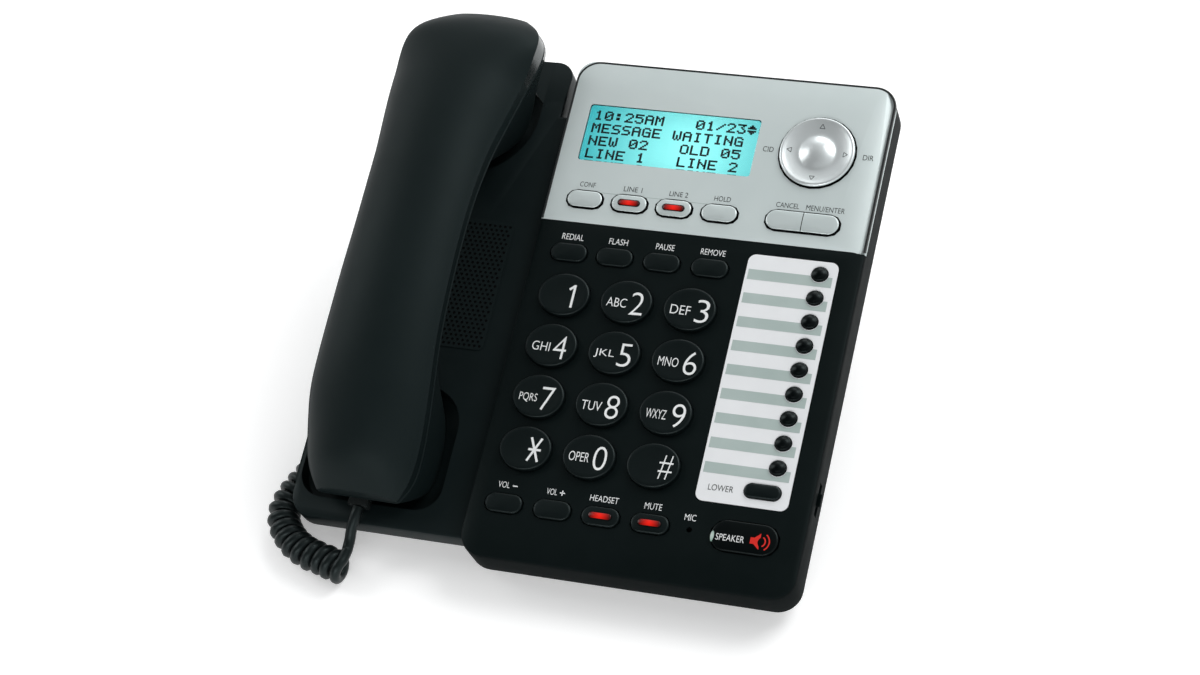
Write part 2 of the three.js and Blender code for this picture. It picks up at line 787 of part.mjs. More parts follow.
function ringerSwitch() {
  const inner = consoleWidth - shellWall - clearance;
  const { y, z } = ringer;
  const knob = block(inner - flangeThickness, y - ringerKnobLength / 2, z - ringerKnobHeight / 2,
    consoleWidth + ringerKnobReach, y + ringerKnobLength / 2, z + ringerKnobHeight / 2);
  const reach = ringerKnobLength / 2 + ringerTravel + flangeWidth;
  const plate = block(inner - flangeThickness, y - reach, z - ringerKnobHeight, inner, y + reach,
    z + ringerKnobHeight);
  return join(knob, plate);
}

// The lower housing: a flange under the whole console, and a tub that tapers in below it.

function tubRing(inset, level) {
  const radius = Math.max(cradleFrontRadius + baseTaper - inset, edgeRound);
  const quarter = Math.PI / 2;
  const corners = [
    [consoleWidth - inset - radius, cradleFront + inset + radius],
    [consoleWidth - inset - radius, cradleRear - tubRearSetback - inset - radius],
    [inset + radius - cradleWidth, cradleRear - tubRearSetback - inset - radius],
    [inset + radius - cradleWidth, cradleFront + inset + radius],
  ];
  return corners.flatMap(([x, y], corner) => Array.from({ length: arcSteps }, (unused, step) => {
    const angle = quarter * (corner - 1 + step / (arcSteps - 1));
    return new THREE.Vector3(x + radius * Math.cos(angle), y + radius * Math.sin(angle), level);
  }));
}

function baseShell() {
  const flangeBottom = baseTop - baseFlange;
  const flange = join(
    prism(consoleOutline(baseInset), flangeBottom, baseTop),
    prism(cradleOutline(baseInset, 2 * baseFlange), flangeBottom, baseTop));
  const start = baseInset + baseFlange;
  const tub = loft([tubRing(start + baseTaper, baseUnderside), tubRing(start, flangeBottom + clearance)]);
  const room = loft([
    tubRing(start + baseTaper + tubWall, baseUnderside + floorWall),
    tubRing(start + tubWall, flangeBottom + clearance),
    tubRing(start + tubWall, baseTop + overrun),
  ]);
  const jackRear = cradleRear - tubRearSetback - start;
  const jackFront = jackRear - baseTaper - socketDepth;
  const jackMiddle = (flangeBottom + baseUnderside) / 2;
  const jackTop = jackMiddle + lineSocketHeight / 2;
  const jackLeft = across(lineSocketXShares[0]) - lineSocketWidth;
  const jackRight = across(powerSocketXShare) + lineSocketWidth;
  const allowed = loft([tubRing(start + baseTaper, baseUnderside), tubRing(start, baseTop)]);
  const jackBlock = common(allowed, block(jackLeft, jackFront - floorWall, baseUnderside, jackRight,
    jackRear, Math.min(jackTop + floorWall, baseTop)));
  const sockets = lineSocketXShares.map(share => block(across(share) - lineSocketWidth / 2, jackFront,
    jackMiddle - lineSocketHeight / 2, across(share) + lineSocketWidth / 2, jackRear + overrun, jackTop));
  const power = new THREE.CylinderGeometry(powerSocketDiameter / 2, powerSocketDiameter / 2,
    jackRear + overrun - jackFront, 12);
  power.translate(across(powerSocketXShare), (jackRear + overrun + jackFront) / 2, jackMiddle);
  const plugRoom = block(basePlug.left - clearance, basePlug.y - plugWidth / 2 - clearance,
    basePlug.z - plugHeight / 2 - clearance, basePlug.left + plugLength + clearance,
    basePlug.y + plugWidth / 2 + clearance, basePlug.z + plugHeight / 2 + clearance);
  return cut(join(cut(join(flange, tub), room), jackBlock), ...sockets, power, plugRoom, notchBody());
}

// The cord's plug at the base goes into the tub's left side, under the overhanging cradle.
const basePlug = {
  left: baseInset + baseFlange - cradleWidth,
  y: along(handsetJackYShare),
  z: baseTop - baseFlange - clearance - plugHeight / 2 - floorWall / 2,
};

function basePlugBody() {
  return block(basePlug.left, basePlug.y - plugWidth / 2, basePlug.z - plugHeight / 2,
    basePlug.left + plugLength, basePlug.y + plugWidth / 2, basePlug.z + plugHeight / 2);
}

// Handset: two shells that meet at a seam, with the cups in the cradle's pockets. It is drawn about its
// own middle and lies in the cradle turned a little.

const handsetMiddle = cradleRear + handsetOverhang - handsetLength / 2;
const handsetFront = -handsetLength / 2;
const cupLevel = pocketFloor + clearance;

function station(index) {
  return {
    y: handsetFront + stationShares[index] * handsetLength,
    lean: leanShares[index] * handsetHalfWidth,
    half: widthShares[index] * handsetHalfWidth,
    top: cupLevel + topShares[index] * handsetHeight,
    seam: cupLevel + seamShares[index] * handsetHeight,
    bottom: cupLevel + bottomShares[index] * handsetHeight,
    bottomHalf: bottomWidthShares[index] * handsetHalfWidth,
  };
}

const sectionSteps = 9;
const archAngle = THREE.MathUtils.degToRad(62);
const innerFullness = 0.4;

// The trough's sides: how far down, and how far in towards the bottom's width.
const kneeShare = 0.5;
const lowShare = 0.85;
const lowInShare = 0.9;
const hemShare = 0.96;

// One cross-section of the outer shell: an arch that meets the upright sides at a shoulder.
function archRing(place, inset, floor) {
  const { y, lean, half, top, seam } = place;
  const shoulder = seam + Math.min(handsetShoulder, (top - seam) / 3);
  const crown = Math.max(top - shoulder - inset, clearance);
  const width = half - inset;
  const arch = Array.from({ length: sectionSteps }, (unused, step) => {
    const angle = archAngle * (2 * step / (sectionSteps - 1) - 1);
    const side = Math.sin(angle) / Math.sin(archAngle);
    const rise = (Math.cos(angle) - Math.cos(archAngle)) / (1 - Math.cos(archAngle));
    return new THREE.Vector3(lean + side * width, y, shoulder + rise * crown);
  });
  const corners = [1, -1].map(side => new THREE.Vector3(lean + side * width, y, floor));
  return [...arch, ...corners];
}

// One cross-section of the inner shell: a trough under the seam.
function troughRing(place, inset, ceiling) {
  const { y, lean, half, bottom, bottomHalf } = place;
  const reach = Math.min(half, Math.max(bottomHalf, half * innerFullness)) - inset;
  const low = bottom + inset;
  const level = share => ceiling + (low - ceiling) * share;
  const sideAt = share => half - inset + (bottomHalf - half) * share;
  const corner = Math.min(keyRound * 3, reach / 2);
  const right = [
    [half - inset, level(0)],
    [sideAt(kneeShare), level(kneeShare)],
    [sideAt(lowInShare), level(lowShare)],
    [bottomHalf - inset - corner / 2, level(hemShare)],
    [bottomHalf - inset - corner * 3 / 2, low],
  ];
  const left = right.map(([x, z]) => [-x, z]).reverse();
  return [...right, ...left].map(([x, z]) => new THREE.Vector3(lean + x, y, z));
}

const stations = stationShares.map((share, index) => station(index));
const innerStations = stations.slice(1, -1);

function handsetOuterShell() {
  const outside = loft(stations.map(place => archRing(place, 0, place.seam + clearance / 2)));
  const inside = loft(innerStations.map(place => archRing(place, handsetWall, place.seam - clearance)));
  return cut(outside, inside);
}

const handsetPlug = {
  x: plugWidth / 8,
  front: handsetFront - plugSeat,
  z: cupLevel + plugLevelShare * handsetHeight,
};

function handsetInnerShell() {
  const outside = loft(stations.map(place => troughRing(place, 0, place.seam - clearance / 2)));
  const inside = loft(innerStations.map(place => troughRing(place, handsetWall, place.seam + clearance)));
  const jack = block(handsetPlug.x - plugWidth / 2 - clearance, handsetFront - overrun,
    handsetPlug.z - plugHeight / 2 - clearance, handsetPlug.x + plugWidth / 2 + clearance,
    handsetPlug.front + plugLength + clearance, handsetPlug.z + plugHeight / 2 + clearance);
  return cut(outside, inside, jack);
}

function handsetPlugBody() {
  return block(handsetPlug.x - plugWidth / 2, handsetPlug.front, handsetPlug.z - plugHeight / 2,
    handsetPlug.x + plugWidth / 2, handsetPlug.front + plugLength, handsetPlug.z + plugHeight / 2);
}

// Stand and feet are drawn in the standing frame, where +Z is up and the face frame is turned
// back by the incline about the console's front left corner.

function standing(y, z) {
  return new THREE.Vector2(
    y * Math.cos(incline) - z * Math.sin(incline),
    y * Math.sin(incline) + z * Math.cos(incline));
}

const seatLevel = baseUnderside - clearance;
const footRear = cradleFront + baseInset + baseFlange + baseTaper + footWidth + footSetback;
const footFront = footRear - footWidth;
const floorLevel = standing(footFront, seatLevel).y - frontFootHeight;
const standRear = tubRear - clearance;
const standFront = standRear - standLength;

function wedge(points, left, right) {
  const shape = new THREE.Shape(points);
  const geometry = new THREE.ExtrudeGeometry(shape, { depth: right - left, bevelEnabled: false });
  const turn = new THREE.Matrix4().makeBasis(
    new THREE.Vector3(0, 1, 0), new THREE.Vector3(0, 0, 1), new THREE.Vector3(1, 0, 0));
  return geometry.applyMatrix4(turn).translate(left, 0, 0);
}

function standSides() {
  const middle = (across(standXShare * 2) - cradleWidth + cradleWidth * standXShare) / 2;
  return [middle - standWidth / 2, middle + standWidth / 2];
}

function deskStand() {
  const [left, right] = standSides();
  const front = standing(standFront, seatLevel);
  const rear = standing(standRear, seatLevel);
  const bottom = floorLevel + rearFootHeight + clearance;
  const point = (y, z) => new THREE.Vector2(y, z);
  const outside = wedge([point(front.x, bottom), point(rear.x, bottom), rear, front], left, right);
  const low = bottom - overrun;
  const inFront = front.x + standWall;
  const inRear = rear.x - standWall;
  const roof = y => front.y + (y - front.x) * Math.tan(incline) - standWall / Math.cos(incline);
  const inside = wedge([point(inFront, low), point(inRear, low), point(inRear, roof(inRear)),
    point(inFront, roof(inFront))], left + standWall, right - standWall);
  const ledge = block(left + standWall / 2, rear.x - footWidth - standWall, bottom, right - standWall / 2,
    rear.x - standWall / 2, bottom + standWall);
  return join(cut(outside, inside), ledge);
}

function rearFoot() {
  const [left, right] = standSides();
  const rear = standing(standRear, seatLevel).x;
  return block(left + standWall, rear - footWidth - standWall / 2, floorLevel, right - standWall,
    rear - standWall / 2, floorLevel + rearFootHeight);
}

function frontFoot() {
  const front = standing(footFront, seatLevel);
  const rear = standing(footRear, seatLevel);
  const point = (y, z) => new THREE.Vector2(y, z);
  const [left, right] = standSides();
  return wedge([point(front.x, floorLevel), point(rear.x, floorLevel), rear, front], left, right);
}

// The cord's route in the finished frame, chosen by hand: from the handset's plug down over the cradle's
// front edge, then curled round the front left corner and back beneath the cradle, to the plug in the
// lower housing's left side.
const handsetLeadRoute = [
  [-71.9, -90.2, 21.1],
  [-72.2, -93.2, 19.9],
  [-73.2, -96.7, 16.8],
  [-73.7, -100, 13.2],
  [-73.9, -103.3, 10.4],
  [-73.6, -106.2, 9.2],
];
const coilRoute = [
  [-77.9, -108.1, 6.6],
  [-80.8, -107.1, 6.6],
  [-84, -106, 6.6],
  [-89.3, -104.7, 6.6],
  [-94.5, -102.4, 6.6],
  [-98.6, -99.7, 6.6],
  [-102.2, -96.2, 6.6],
  [-105.2, -92.2, 6.6],
  [-107, -87.8, 6.6],
  [-107.4, -83.5, 6.6],
  [-106.9, -79.3, 6.6],
  [-105.9, -75.2, 6.6],
  [-104.2, -70, 6.6],
  [-101.8, -64, 6.6],
  [-99.2, -57, 6.6],
  [-97, -48, 6.6],
  [-95.4, -38, 6.6],
  [-94.4, -26, 6.6],
  [-94, -12, 6.6],
  [-94, 4, 6.6],
  [-94, 20, 6.6],
  [-94.3, 36, 6.6],
  [-95, 52, 6.6],
  [-96, 68, 6.6],
  [-97.6, 84, 6.6],
];
const baseLeadRoute = [
  [-97.9, 85.1, 6.3],
  [-98.5, 89, 5],
  [-100.8, 93, 3.1],
  [-104.4, 95.4, 2.6],
  [-108.6, 95.4, 2.5],
  [-112.2, 92.8, 2.6],
  [-114.4, 88.4, 3.4],
  [-115.4, 82.6, 7.4],
  [-115.6, 76.6, 14.6],
  [-115.2, 71, 24],
  [-113.6, 66.4, 35],
  [-110, 63.4, 44.4],
  [-104.6, 62.3, 49.8],
  [-98.2, 62.1, 51.1],
];

function cordTube(route, diameter, steps, sides) {
  const path = new THREE.CatmullRomCurve3(route.map(([x, y, z]) => new THREE.Vector3(x, y, z)));
  const section = new THREE.Shape();
  section.absarc(0, 0, diameter / 2, 0, 2 * Math.PI);
  return new THREE.ExtrudeGeometry(section, { steps, curveSegments: sides, extrudePath: path });
}

function leadTube(route) {
  return cordTube(route, cordDiameter, 2 * route.length, 8);
}

function piece(name, geometry, colour, roughness = 0.5, metalness = 0) {
  const material = new THREE.MeshStandardMaterial({ color: colour, roughness, metalness });
  const mesh = new THREE.Mesh(geometry, material);
  mesh.name = name;
  return mesh;
}

const facePieces = new THREE.Group();
facePieces.rotation.x = incline;
facePieces.add(
  piece('top_housing', topHousing(), colours.black, 0.45),
  piece('faceplate', faceplate(), colours.silver, 0.35, 0.3),
  piece('display_window', displayWindow(), colours.clear, 0.1),
  piece('display_module', displayModule(), colours.display, 0.4),
  piece('index_card', indexCard(), colours.card, 0.7),
  piece('navigation_disc', navigationDisc(), colours.silver, 0.2, 0.8),
  piece('navigation_pivot', navigationPivot(), colours.steel, 0.4, 0.5),
  piece('keypad_mat', keypadMat(), colours.rubber, 0.9),
  piece('circuit_board', circuitBoard(), colours.board, 0.6),
  piece('loudspeaker', loudspeaker(), colours.steel, 0.5, 0.4),
  piece('hook_switch', hookSwitch(), colours.key, 0.5),
  piece('ringer_switch', ringerSwitch(), colours.key, 0.5),
  piece('base_shell', baseShell(), colours.black, 0.6),
  piece('base_plug', basePlugBody(), colours.clear, 0.15),
  piece('key_cancel', pairKeySolid(-1), colours.silver, 0.35, 0.3),
  piece('key_menu', pairKeySolid(1), colours.silver, 0.35, 0.3),
);
for (const key of keys) {
  const colour = key.plate === 'faceplate' ? colours.silver : colours.key;
  facePieces.add(piece(key.name, keySolid(key), colour, 0.35));
}

const handsetPieces = new THREE.Group();
handsetPieces.position.set(handsetCentre, handsetMiddle, 0);
handsetPieces.rotation.z = handsetTurn;
handsetPieces.add(
  piece('handset_outer_shell', handsetOuterShell(), colours.handset, 0.35),
  piece('handset_inner_shell', handsetInnerShell(), colours.handset, 0.4),
  piece('handset_plug', handsetPlugBody(), colours.clear, 0.15),
);
facePieces.add(handsetPieces);

const standPieces = new THREE.Group();
standPieces.add(
  piece('desk_stand', deskStand(), colours.black, 0.6),
  piece('front_foot', frontFoot(), colours.rubber, 0.9),
  piece('rear_foot', rearFoot(), colours.rubber, 0.9),
);

// The finished frame has its origin under the middle of everything but the cord.
const phone = new THREE.Group();
phone.add(facePieces, standPieces);
const box = new THREE.Box3().setFromObject(phone, true);
for (const group of [facePieces, standPieces]) {
  group.position.set(-(box.min.x + box.max.x) / 2, -(box.min.y + box.max.y) / 2, -box.min.z);
}
phone.add(
  piece('handset_lead', leadTube(handsetLeadRoute), colours.cord, 0.4),
  piece('cord_coil', cordTube(coilRoute, coilDiameter, coilRoute.length, 10), colours.cord, 0.4),
  piece('base_lead', leadTube(baseLeadRoute), colours.cord, 0.4),
);

export default phone;
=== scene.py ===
import bmesh
import bpy
import json
from math import copysign, cos, hypot, pi, radians, sin, sqrt
from mathutils import Matrix, Vector
from mathutils.bvhtree import BVHTree
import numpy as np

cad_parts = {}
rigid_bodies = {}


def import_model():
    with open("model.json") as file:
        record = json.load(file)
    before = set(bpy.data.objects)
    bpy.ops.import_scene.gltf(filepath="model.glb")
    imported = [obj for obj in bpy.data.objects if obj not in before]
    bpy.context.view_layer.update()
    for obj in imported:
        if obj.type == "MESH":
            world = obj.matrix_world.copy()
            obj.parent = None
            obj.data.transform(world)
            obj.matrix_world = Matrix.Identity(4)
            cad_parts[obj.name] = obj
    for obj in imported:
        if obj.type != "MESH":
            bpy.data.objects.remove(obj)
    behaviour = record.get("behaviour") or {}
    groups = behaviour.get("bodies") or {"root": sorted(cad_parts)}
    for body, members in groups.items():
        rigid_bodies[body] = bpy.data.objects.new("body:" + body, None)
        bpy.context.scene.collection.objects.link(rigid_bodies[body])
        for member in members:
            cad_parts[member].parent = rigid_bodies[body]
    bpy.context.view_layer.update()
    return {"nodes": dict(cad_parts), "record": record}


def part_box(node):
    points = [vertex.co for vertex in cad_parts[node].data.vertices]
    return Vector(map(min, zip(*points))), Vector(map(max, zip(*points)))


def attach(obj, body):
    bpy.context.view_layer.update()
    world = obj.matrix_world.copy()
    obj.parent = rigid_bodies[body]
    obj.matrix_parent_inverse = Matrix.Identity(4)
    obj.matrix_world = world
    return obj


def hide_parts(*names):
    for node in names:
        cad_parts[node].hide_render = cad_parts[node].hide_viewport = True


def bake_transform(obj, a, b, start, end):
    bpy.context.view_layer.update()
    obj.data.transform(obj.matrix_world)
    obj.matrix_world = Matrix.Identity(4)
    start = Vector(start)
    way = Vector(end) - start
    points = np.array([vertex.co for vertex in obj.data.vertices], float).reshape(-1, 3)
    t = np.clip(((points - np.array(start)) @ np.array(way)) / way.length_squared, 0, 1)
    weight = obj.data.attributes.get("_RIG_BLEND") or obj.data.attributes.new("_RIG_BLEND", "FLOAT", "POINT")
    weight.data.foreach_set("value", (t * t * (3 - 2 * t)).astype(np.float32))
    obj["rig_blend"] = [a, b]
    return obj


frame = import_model()

MM = 0.001
MILLIMETRES = Matrix.Scale(MM, 4)
INCLINE = radians(18)

# The sloping face has a frame of its own: x across from the console's left edge, y up the slope
# from its front edge and z out of it, all in millimetres.
FACE_ORIGIN = Vector((-29.3, -102.793, 19.004)) * MM
FACE = Matrix.Translation(FACE_ORIGIN) @ Matrix.Rotation(INCLINE, 4, "X") @ MILLIMETRES


def add_object(name, data):
    obj = bpy.data.objects.new(name, data)
    bpy.context.scene.collection.objects.link(obj)
    return obj


# Camera and lights

CAMERA_PLACE = (0.323848, -0.665805, 0.829337)
CAMERA_RIGHT = Vector((0.947356, 0.282839, -0.15006))
CAMERA_DOWN = Vector((0.115915, -0.739852, -0.662708))
CAMERA_FORWARD = Vector((-0.298462, 0.610427, -0.733689))
SENSOR, LENS = 36, 84.79
CLIP_NEAR, CLIP_FAR = 0.01, 60

# Each lamp's place and aim, its width and height in metres, and its power in watts.
LAMPS = {
    "rear_softbox": ((0.3, 1.75, 1.15), (0, 0.1, 0), 2.2, 0.9, 13),
    "left_softbox": ((-1.45, 0.2, 1.0), (0, 0, 0.05), 0.9, 1.1, 9),
    "right_softbox": ((0.9, 0.8, 1.35), (0, 0, 0.05), 0.9, 0.9, 12),
    "front_fill": ((0.1, -1.9, 0.75), (0, 0, 0.05), 1.6, 0.5, 13),
}

# The sky dims towards one direction: between two shares of it, from one strength to another.
SKY_DIMS_TOWARDS = (-0.5, -0.4, 0.768)
SKY_SHARES, SKY_STRENGTHS = (0.3, 0.95), (0.62, 0.05)
SKY_TINT = (0.97, 0.99, 1, 1)


def set_camera():
    camera = add_object("camera", bpy.data.cameras.new("camera"))
    turn = Matrix((CAMERA_RIGHT, -CAMERA_DOWN, -CAMERA_FORWARD)).transposed().to_4x4()
    camera.matrix_world = Matrix.Translation(CAMERA_PLACE) @ turn
    camera.data.sensor_width, camera.data.lens = SENSOR, LENS
    camera.data.clip_start, camera.data.clip_end = CLIP_NEAR, CLIP_FAR
    bpy.context.scene.camera = camera


def area_light(name, place, aim, width, height, power):
    data = bpy.data.lights.new(name, "AREA")
    data.shape = "RECTANGLE"
    data.size, data.size_y, data.energy = width, height, power
    light = add_object(name, data)
    light.location = place
    light.rotation_mode = "QUATERNION"
    light.rotation_quaternion = (Vector(aim) - Vector(place)).to_track_quat("-Z", "Y")


def set_lights():
    bpy.context.scene.view_settings.view_transform = "Standard"
    world = bpy.data.worlds.new("studio")
    bpy.context.scene.world = world
    world.use_nodes = True
    tree = world.node_tree
    direction = add_node(tree, "TexCoord").outputs["Generated"]
    share = add_node(tree, "VectorMath", "DOT_PRODUCT", Vector=direction)
    share.inputs[1].default_value = SKY_DIMS_TOWARDS
    strength = span(tree, share.outputs["Value"], *SKY_STRENGTHS, *SKY_SHARES)
    set_sockets(tree, tree.nodes["Background"], {"Color": SKY_TINT, "Strength": strength})
    for name, settings in LAMPS.items():
        area_light(name, *settings)


# Materials: node trees over the object's own coordinates, in metres

def set_sockets(tree, node, values):
    """Values, or links from other sockets, by socket name with _ for a space."""
    for name, value in values.items():
        socket = node.inputs[name.replace("_", " ")]
        if isinstance(value, bpy.types.NodeSocket):
            tree.links.new(value, socket)
        else:
            socket.default_value = value


def add_node(tree, kind, operation=None, **values):
    node = tree.nodes.new("ShaderNode" + kind)
    if operation:
        node.operation = operation
    set_sockets(tree, node, values)
    return node


def new_material(name):
    material = bpy.data.materials.new(name)
    material.use_nodes = True
    return material, material.node_tree, material.node_tree.nodes["Principled BSDF"]


def ramp(tree, source, low, high, start=0.3, end=0.7):
    node = add_node(tree, "ValToRGB", Fac=source)
    first, last = node.color_ramp.elements
    first.position, first.color = start, (*low, 1)
    last.position, last.color = end, (*high, 1)
    return node.outputs["Color"]


def noise(tree, scale):
    place = add_node(tree, "TexCoord").outputs["Object"]
    return add_node(tree, "TexNoise", Vector=place, Scale=scale, Detail=3.0,
                    Roughness=0.55).outputs["Fac"]


def span(tree, source, low, high, start=0, end=1):
    return add_node(tree, "MapRange", Value=source, From_Min=start, From_Max=end, To_Min=low,
                    To_Max=high).outputs["Result"]


def bump(tree, grain, strength, distance):
    return add_node(tree, "Bump", Height=noise(tree, grain), Strength=strength,
                    Distance=distance).outputs["Normal"]


def surface(name, dark, light, rough, grain, relief, patch=30, **sockets):
    """A moulded, painted or printed surface: slow colour drift, uneven gloss and a fine grain."""
    material, tree, shader = new_material(name)
    set_sockets(tree, shader, {"Base_Color": ramp(tree, noise(tree, patch), dark, light),
                               "Roughness": span(tree, noise(tree, patch * 4), *rough),
                               "Normal": bump(tree, grain, *relief), **sockets})
    return material


def cool_black(name, dark, light, rough, gloss, grain=2600, relief=(0.35, 0.00003), patch=30):
    return surface(name, dark, light, rough, grain, relief, patch, Specular_IOR_Level=gloss,
                   Specular_Tint=(0.82, 1.0, 1.0, 1))


def ink(name, dark, light, rough=(0.5, 0.6), strength=0.15):
    return surface(name, dark, light, rough, 3000, (strength, 0.00001))


GLOW_SHARE = 0.25
GLOW_STOPS = (0.1, 0.9)


def glow(name, edge, heart, strength, centre, reach):
    """A lit window: brightest at its middle, fading to its ends. Its own colour is a share of
    its light's."""
    material, tree, shader = new_material(name)
    place = add_node(tree, "TexCoord").outputs["Object"]
    distance = add_node(tree, "VectorMath", "DISTANCE", Vector=place)
    distance.inputs[1].default_value = centre
    share = span(tree, distance.outputs["Value"], 0, 1, 0, reach)
    own, light = (ramp(tree, share, [part * v for v in heart], [part * v for v in edge],
                       *GLOW_STOPS) for part in (GLOW_SHARE, 1))
    set_sockets(tree, shader, {"Base_Color": own, "Emission_Color": light, "Roughness": 0.25,
                               "Emission_Strength": strength,
                               "Normal": bump(tree, 1500, 0.1, 0.00002)})
    return material


HANDSET_SHADES = ((0.0034, 0.0068, 0.0072), (0.0044, 0.0082, 0.0087))
black = cool_black("housing_black", (0.0010, 0.0030, 0.0031), (0.0015, 0.0038, 0.0040),
                   (0.42, 0.52), 0.14)
# A lighter copy of the housing black for the cradle, which lies in the handset's shade: painted light.
cradle_painted_light_black = cool_black("cradle_painted_light_black", (0.0030, 0.0060, 0.0064), (0.0040, 0.0074, 0.0079),
                          (0.42, 0.52), 0.2)
side_black = cool_black("housing_side_black", (0.0012, 0.0028, 0.0030), (0.0018, 0.0036, 0.0038),
                        (0.5, 0.6), 0.035)
satin_black = cool_black("handset_black", *HANDSET_SHADES, (0.51, 0.59), 0.16, 3200, (0.22, 0.00002))
cheek_black = cool_black("handset_cheek_black", *HANDSET_SHADES, (0.18, 0.24), 0.5, 3200, (0.12, 0.00002))
underside_black = cool_black("underside_black", (0.006, 0.0085, 0.009), (0.010, 0.013, 0.013),
                             (0.55, 0.68), 0.25, 1300, (0.5, 0.00006))
key_black = cool_black("key_black", (0.0014, 0.0034, 0.0036), (0.0020, 0.0044, 0.0046),
                       (0.34, 0.42), 0.25, 3000, (0.25, 0.00002))
bead_black = cool_black("memory_key_black", (0.0010, 0.0018, 0.0020), (0.0016, 0.0026, 0.0028),
                        (0.26, 0.34), 0.16, 3000, (0.15, 0.00002))
cord_black = cool_black("cord_black", (0.0035, 0.0055, 0.0058), (0.0050, 0.0075, 0.0078),
                        (0.36, 0.44), 0.26, 1500, (0.15, 0.00003), 80)
screen_black = surface("screen_black", (0.0008, 0.0011, 0.0011), (0.0016, 0.002, 0.002),
                       (0.8, 0.9), 2600, (0.4, 0.00004), Specular_IOR_Level=0.1)
# A dark for the plate's chamfers, rounded edges and rim: painted shade, for the dark reflection and the shadow
# gap at the plate's edge.
edge_painted_shade = surface("faceplate_edge_painted_shade", (0.010, 0.013, 0.013), (0.016, 0.019, 0.019),
                    (0.3, 0.4), 3000, (0.15, 0.00002), Specular_IOR_Level=0.5)
silver = surface("faceplate_silver", (0.605, 0.68, 0.675), (0.645, 0.715, 0.71),
                 (0.36, 0.44), 5200, (0.16, 0.00002), Metallic=0.2, Specular_IOR_Level=0.4)
silver_key = surface("silver_key", (0.615, 0.69, 0.685), (0.655, 0.725, 0.72),
                     (0.28, 0.36), 5200, (0.12, 0.00002), Metallic=0.3, Specular_IOR_Level=0.5)
polished = surface("navigation_silver", (0.75, 0.8, 0.805), (0.81, 0.86, 0.865),
                   (0.3, 0.36), 4200, (0.06, 0.00001), Metallic=0.62)
card_white = surface("card_white", (0.79, 0.805, 0.82), (0.83, 0.845, 0.86),
                     (0.6, 0.75), 900, (0.2, 0.00003), 60, Specular_IOR_Level=0.25)
stripe_grey = surface("stripe_grey", (0.38, 0.46, 0.44), (0.43, 0.51, 0.49),
                      (0.6, 0.75), 900, (0.2, 0.00003), 60, Specular_IOR_Level=0.25)
rubber = surface("rubber_dark", (0.012, 0.012, 0.012), (0.022, 0.022, 0.022),
                 (0.8, 0.92), 1800, (0.6, 0.00005))
board = surface("board_green", (0.01, 0.09, 0.035), (0.02, 0.13, 0.05), (0.35, 0.5), 1400, (0.3, 0.00004))
steel = surface("speaker_steel", (0.42, 0.42, 0.43), (0.52, 0.52, 0.53),
                (0.3, 0.42), 2200, (0.2, 0.00003), Metallic=0.9)
gold = surface("contact_gold", (0.72, 0.50, 0.17), (0.82, 0.60, 0.24),
               (0.22, 0.32), 2200, (0.1, 0.00001), Metallic=1.0)
# The plugs are clear plastic, darkened for the shade in their sockets: painted shade.
painted_shade_plug = surface("plug_painted_shade", (0.02, 0.024, 0.024), (0.03, 0.034, 0.034), (0.12, 0.2), 1500,
                     (0.08, 0.00001), Transmission_Weight=0.3, Specular_IOR_Level=0.3)
clear_lens = surface("display_clear", (0.95, 0.98, 0.98), (1.0, 1.0, 1.0), (0.02, 0.05), 600,
                     (0.02, 0.00001), Transmission_Weight=1.0, IOR=1.2)
white_ink = ink("white_ink", (0.78, 0.80, 0.80), (0.86, 0.88, 0.88))
grey_ink = ink("grey_ink", (0.014, 0.018, 0.018), (0.022, 0.027, 0.027))
red_ink = ink("red_ink", (0.62, 0.012, 0.008), (0.72, 0.025, 0.015), (0.35, 0.45))
lcd_ink = ink("display_ink", (0.002, 0.012, 0.014), (0.003, 0.018, 0.020), (0.7, 0.8), 0.1)
arrow_grey = ink("arrow_grey", (0.10, 0.115, 0.115), (0.14, 0.155, 0.155), (0.4, 0.5), 0.1)

# The nodes that stay as they are. Pieces below stand for all the others.
NODE_LOOKS = {
    black: ["hook_switch"],
    clear_lens: ["display_window"],
    rubber: ["front_foot", "rear_foot", "keypad_mat"],
    board: ["circuit_board"],
    steel: ["loudspeaker", "navigation_pivot"],
    # The plugs' darkened clear plastic is painted shade.
    painted_shade_plug: ["base_plug", "handset_plug"],
}


def wear(mesh, material):
    mesh.materials.clear()
    mesh.materials.append(material)


def paint_nodes():
    for material, names in NODE_LOOKS.items():
        for name in names:
            wear(frame["nodes"][name].data, material)


# Making pieces

def body_of(node):
    bodies = frame["record"]["behaviour"]["bodies"]
    return next(body for body, members in bodies.items() if node in members)


def face_box(node):
    """The node's lowest and highest corners in the face frame, in millimetres."""
    back = FACE.inverted()
    points = [back @ v.co for v in frame["nodes"][node].data.vertices]
    return [[pick(p[k] for p in points) for k in range(3)] for pick in (min, max)]


def middle_of(low, high):
    return [(a + b) / 2 for a, b in zip(low, high)]


def finish_piece(name, mesh, material, body, smooth_angle=None):
    wear(mesh, material)
    obj = add_object(name, mesh)
    if smooth_angle is not None:
        for polygon in mesh.polygons:
            polygon.use_smooth = True
        mesh.set_sharp_from_angle(angle=radians(smooth_angle))
    if body:
        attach(obj, body)
    return obj


def plain_mesh(name, points, faces, matrix=FACE):
    mesh = bpy.data.meshes.new(name)
    mesh.from_pydata([matrix @ Vector(p) for p in points], [], faces)
    return mesh


def mesh_from(name, points, faces, matrix=FACE):
    """A mesh with its doubled points merged and its faces turned outwards."""
    mesh = plain_mesh(name, points, faces, matrix)
    work = bmesh.new()
    work.from_mesh(mesh)
    bmesh.ops.remove_doubles(work, verts=work.verts, dist=1e-6)
    bmesh.ops.recalc_face_normals(work, faces=work.faces)
    work.to_mesh(mesh)
    work.free()
    return mesh


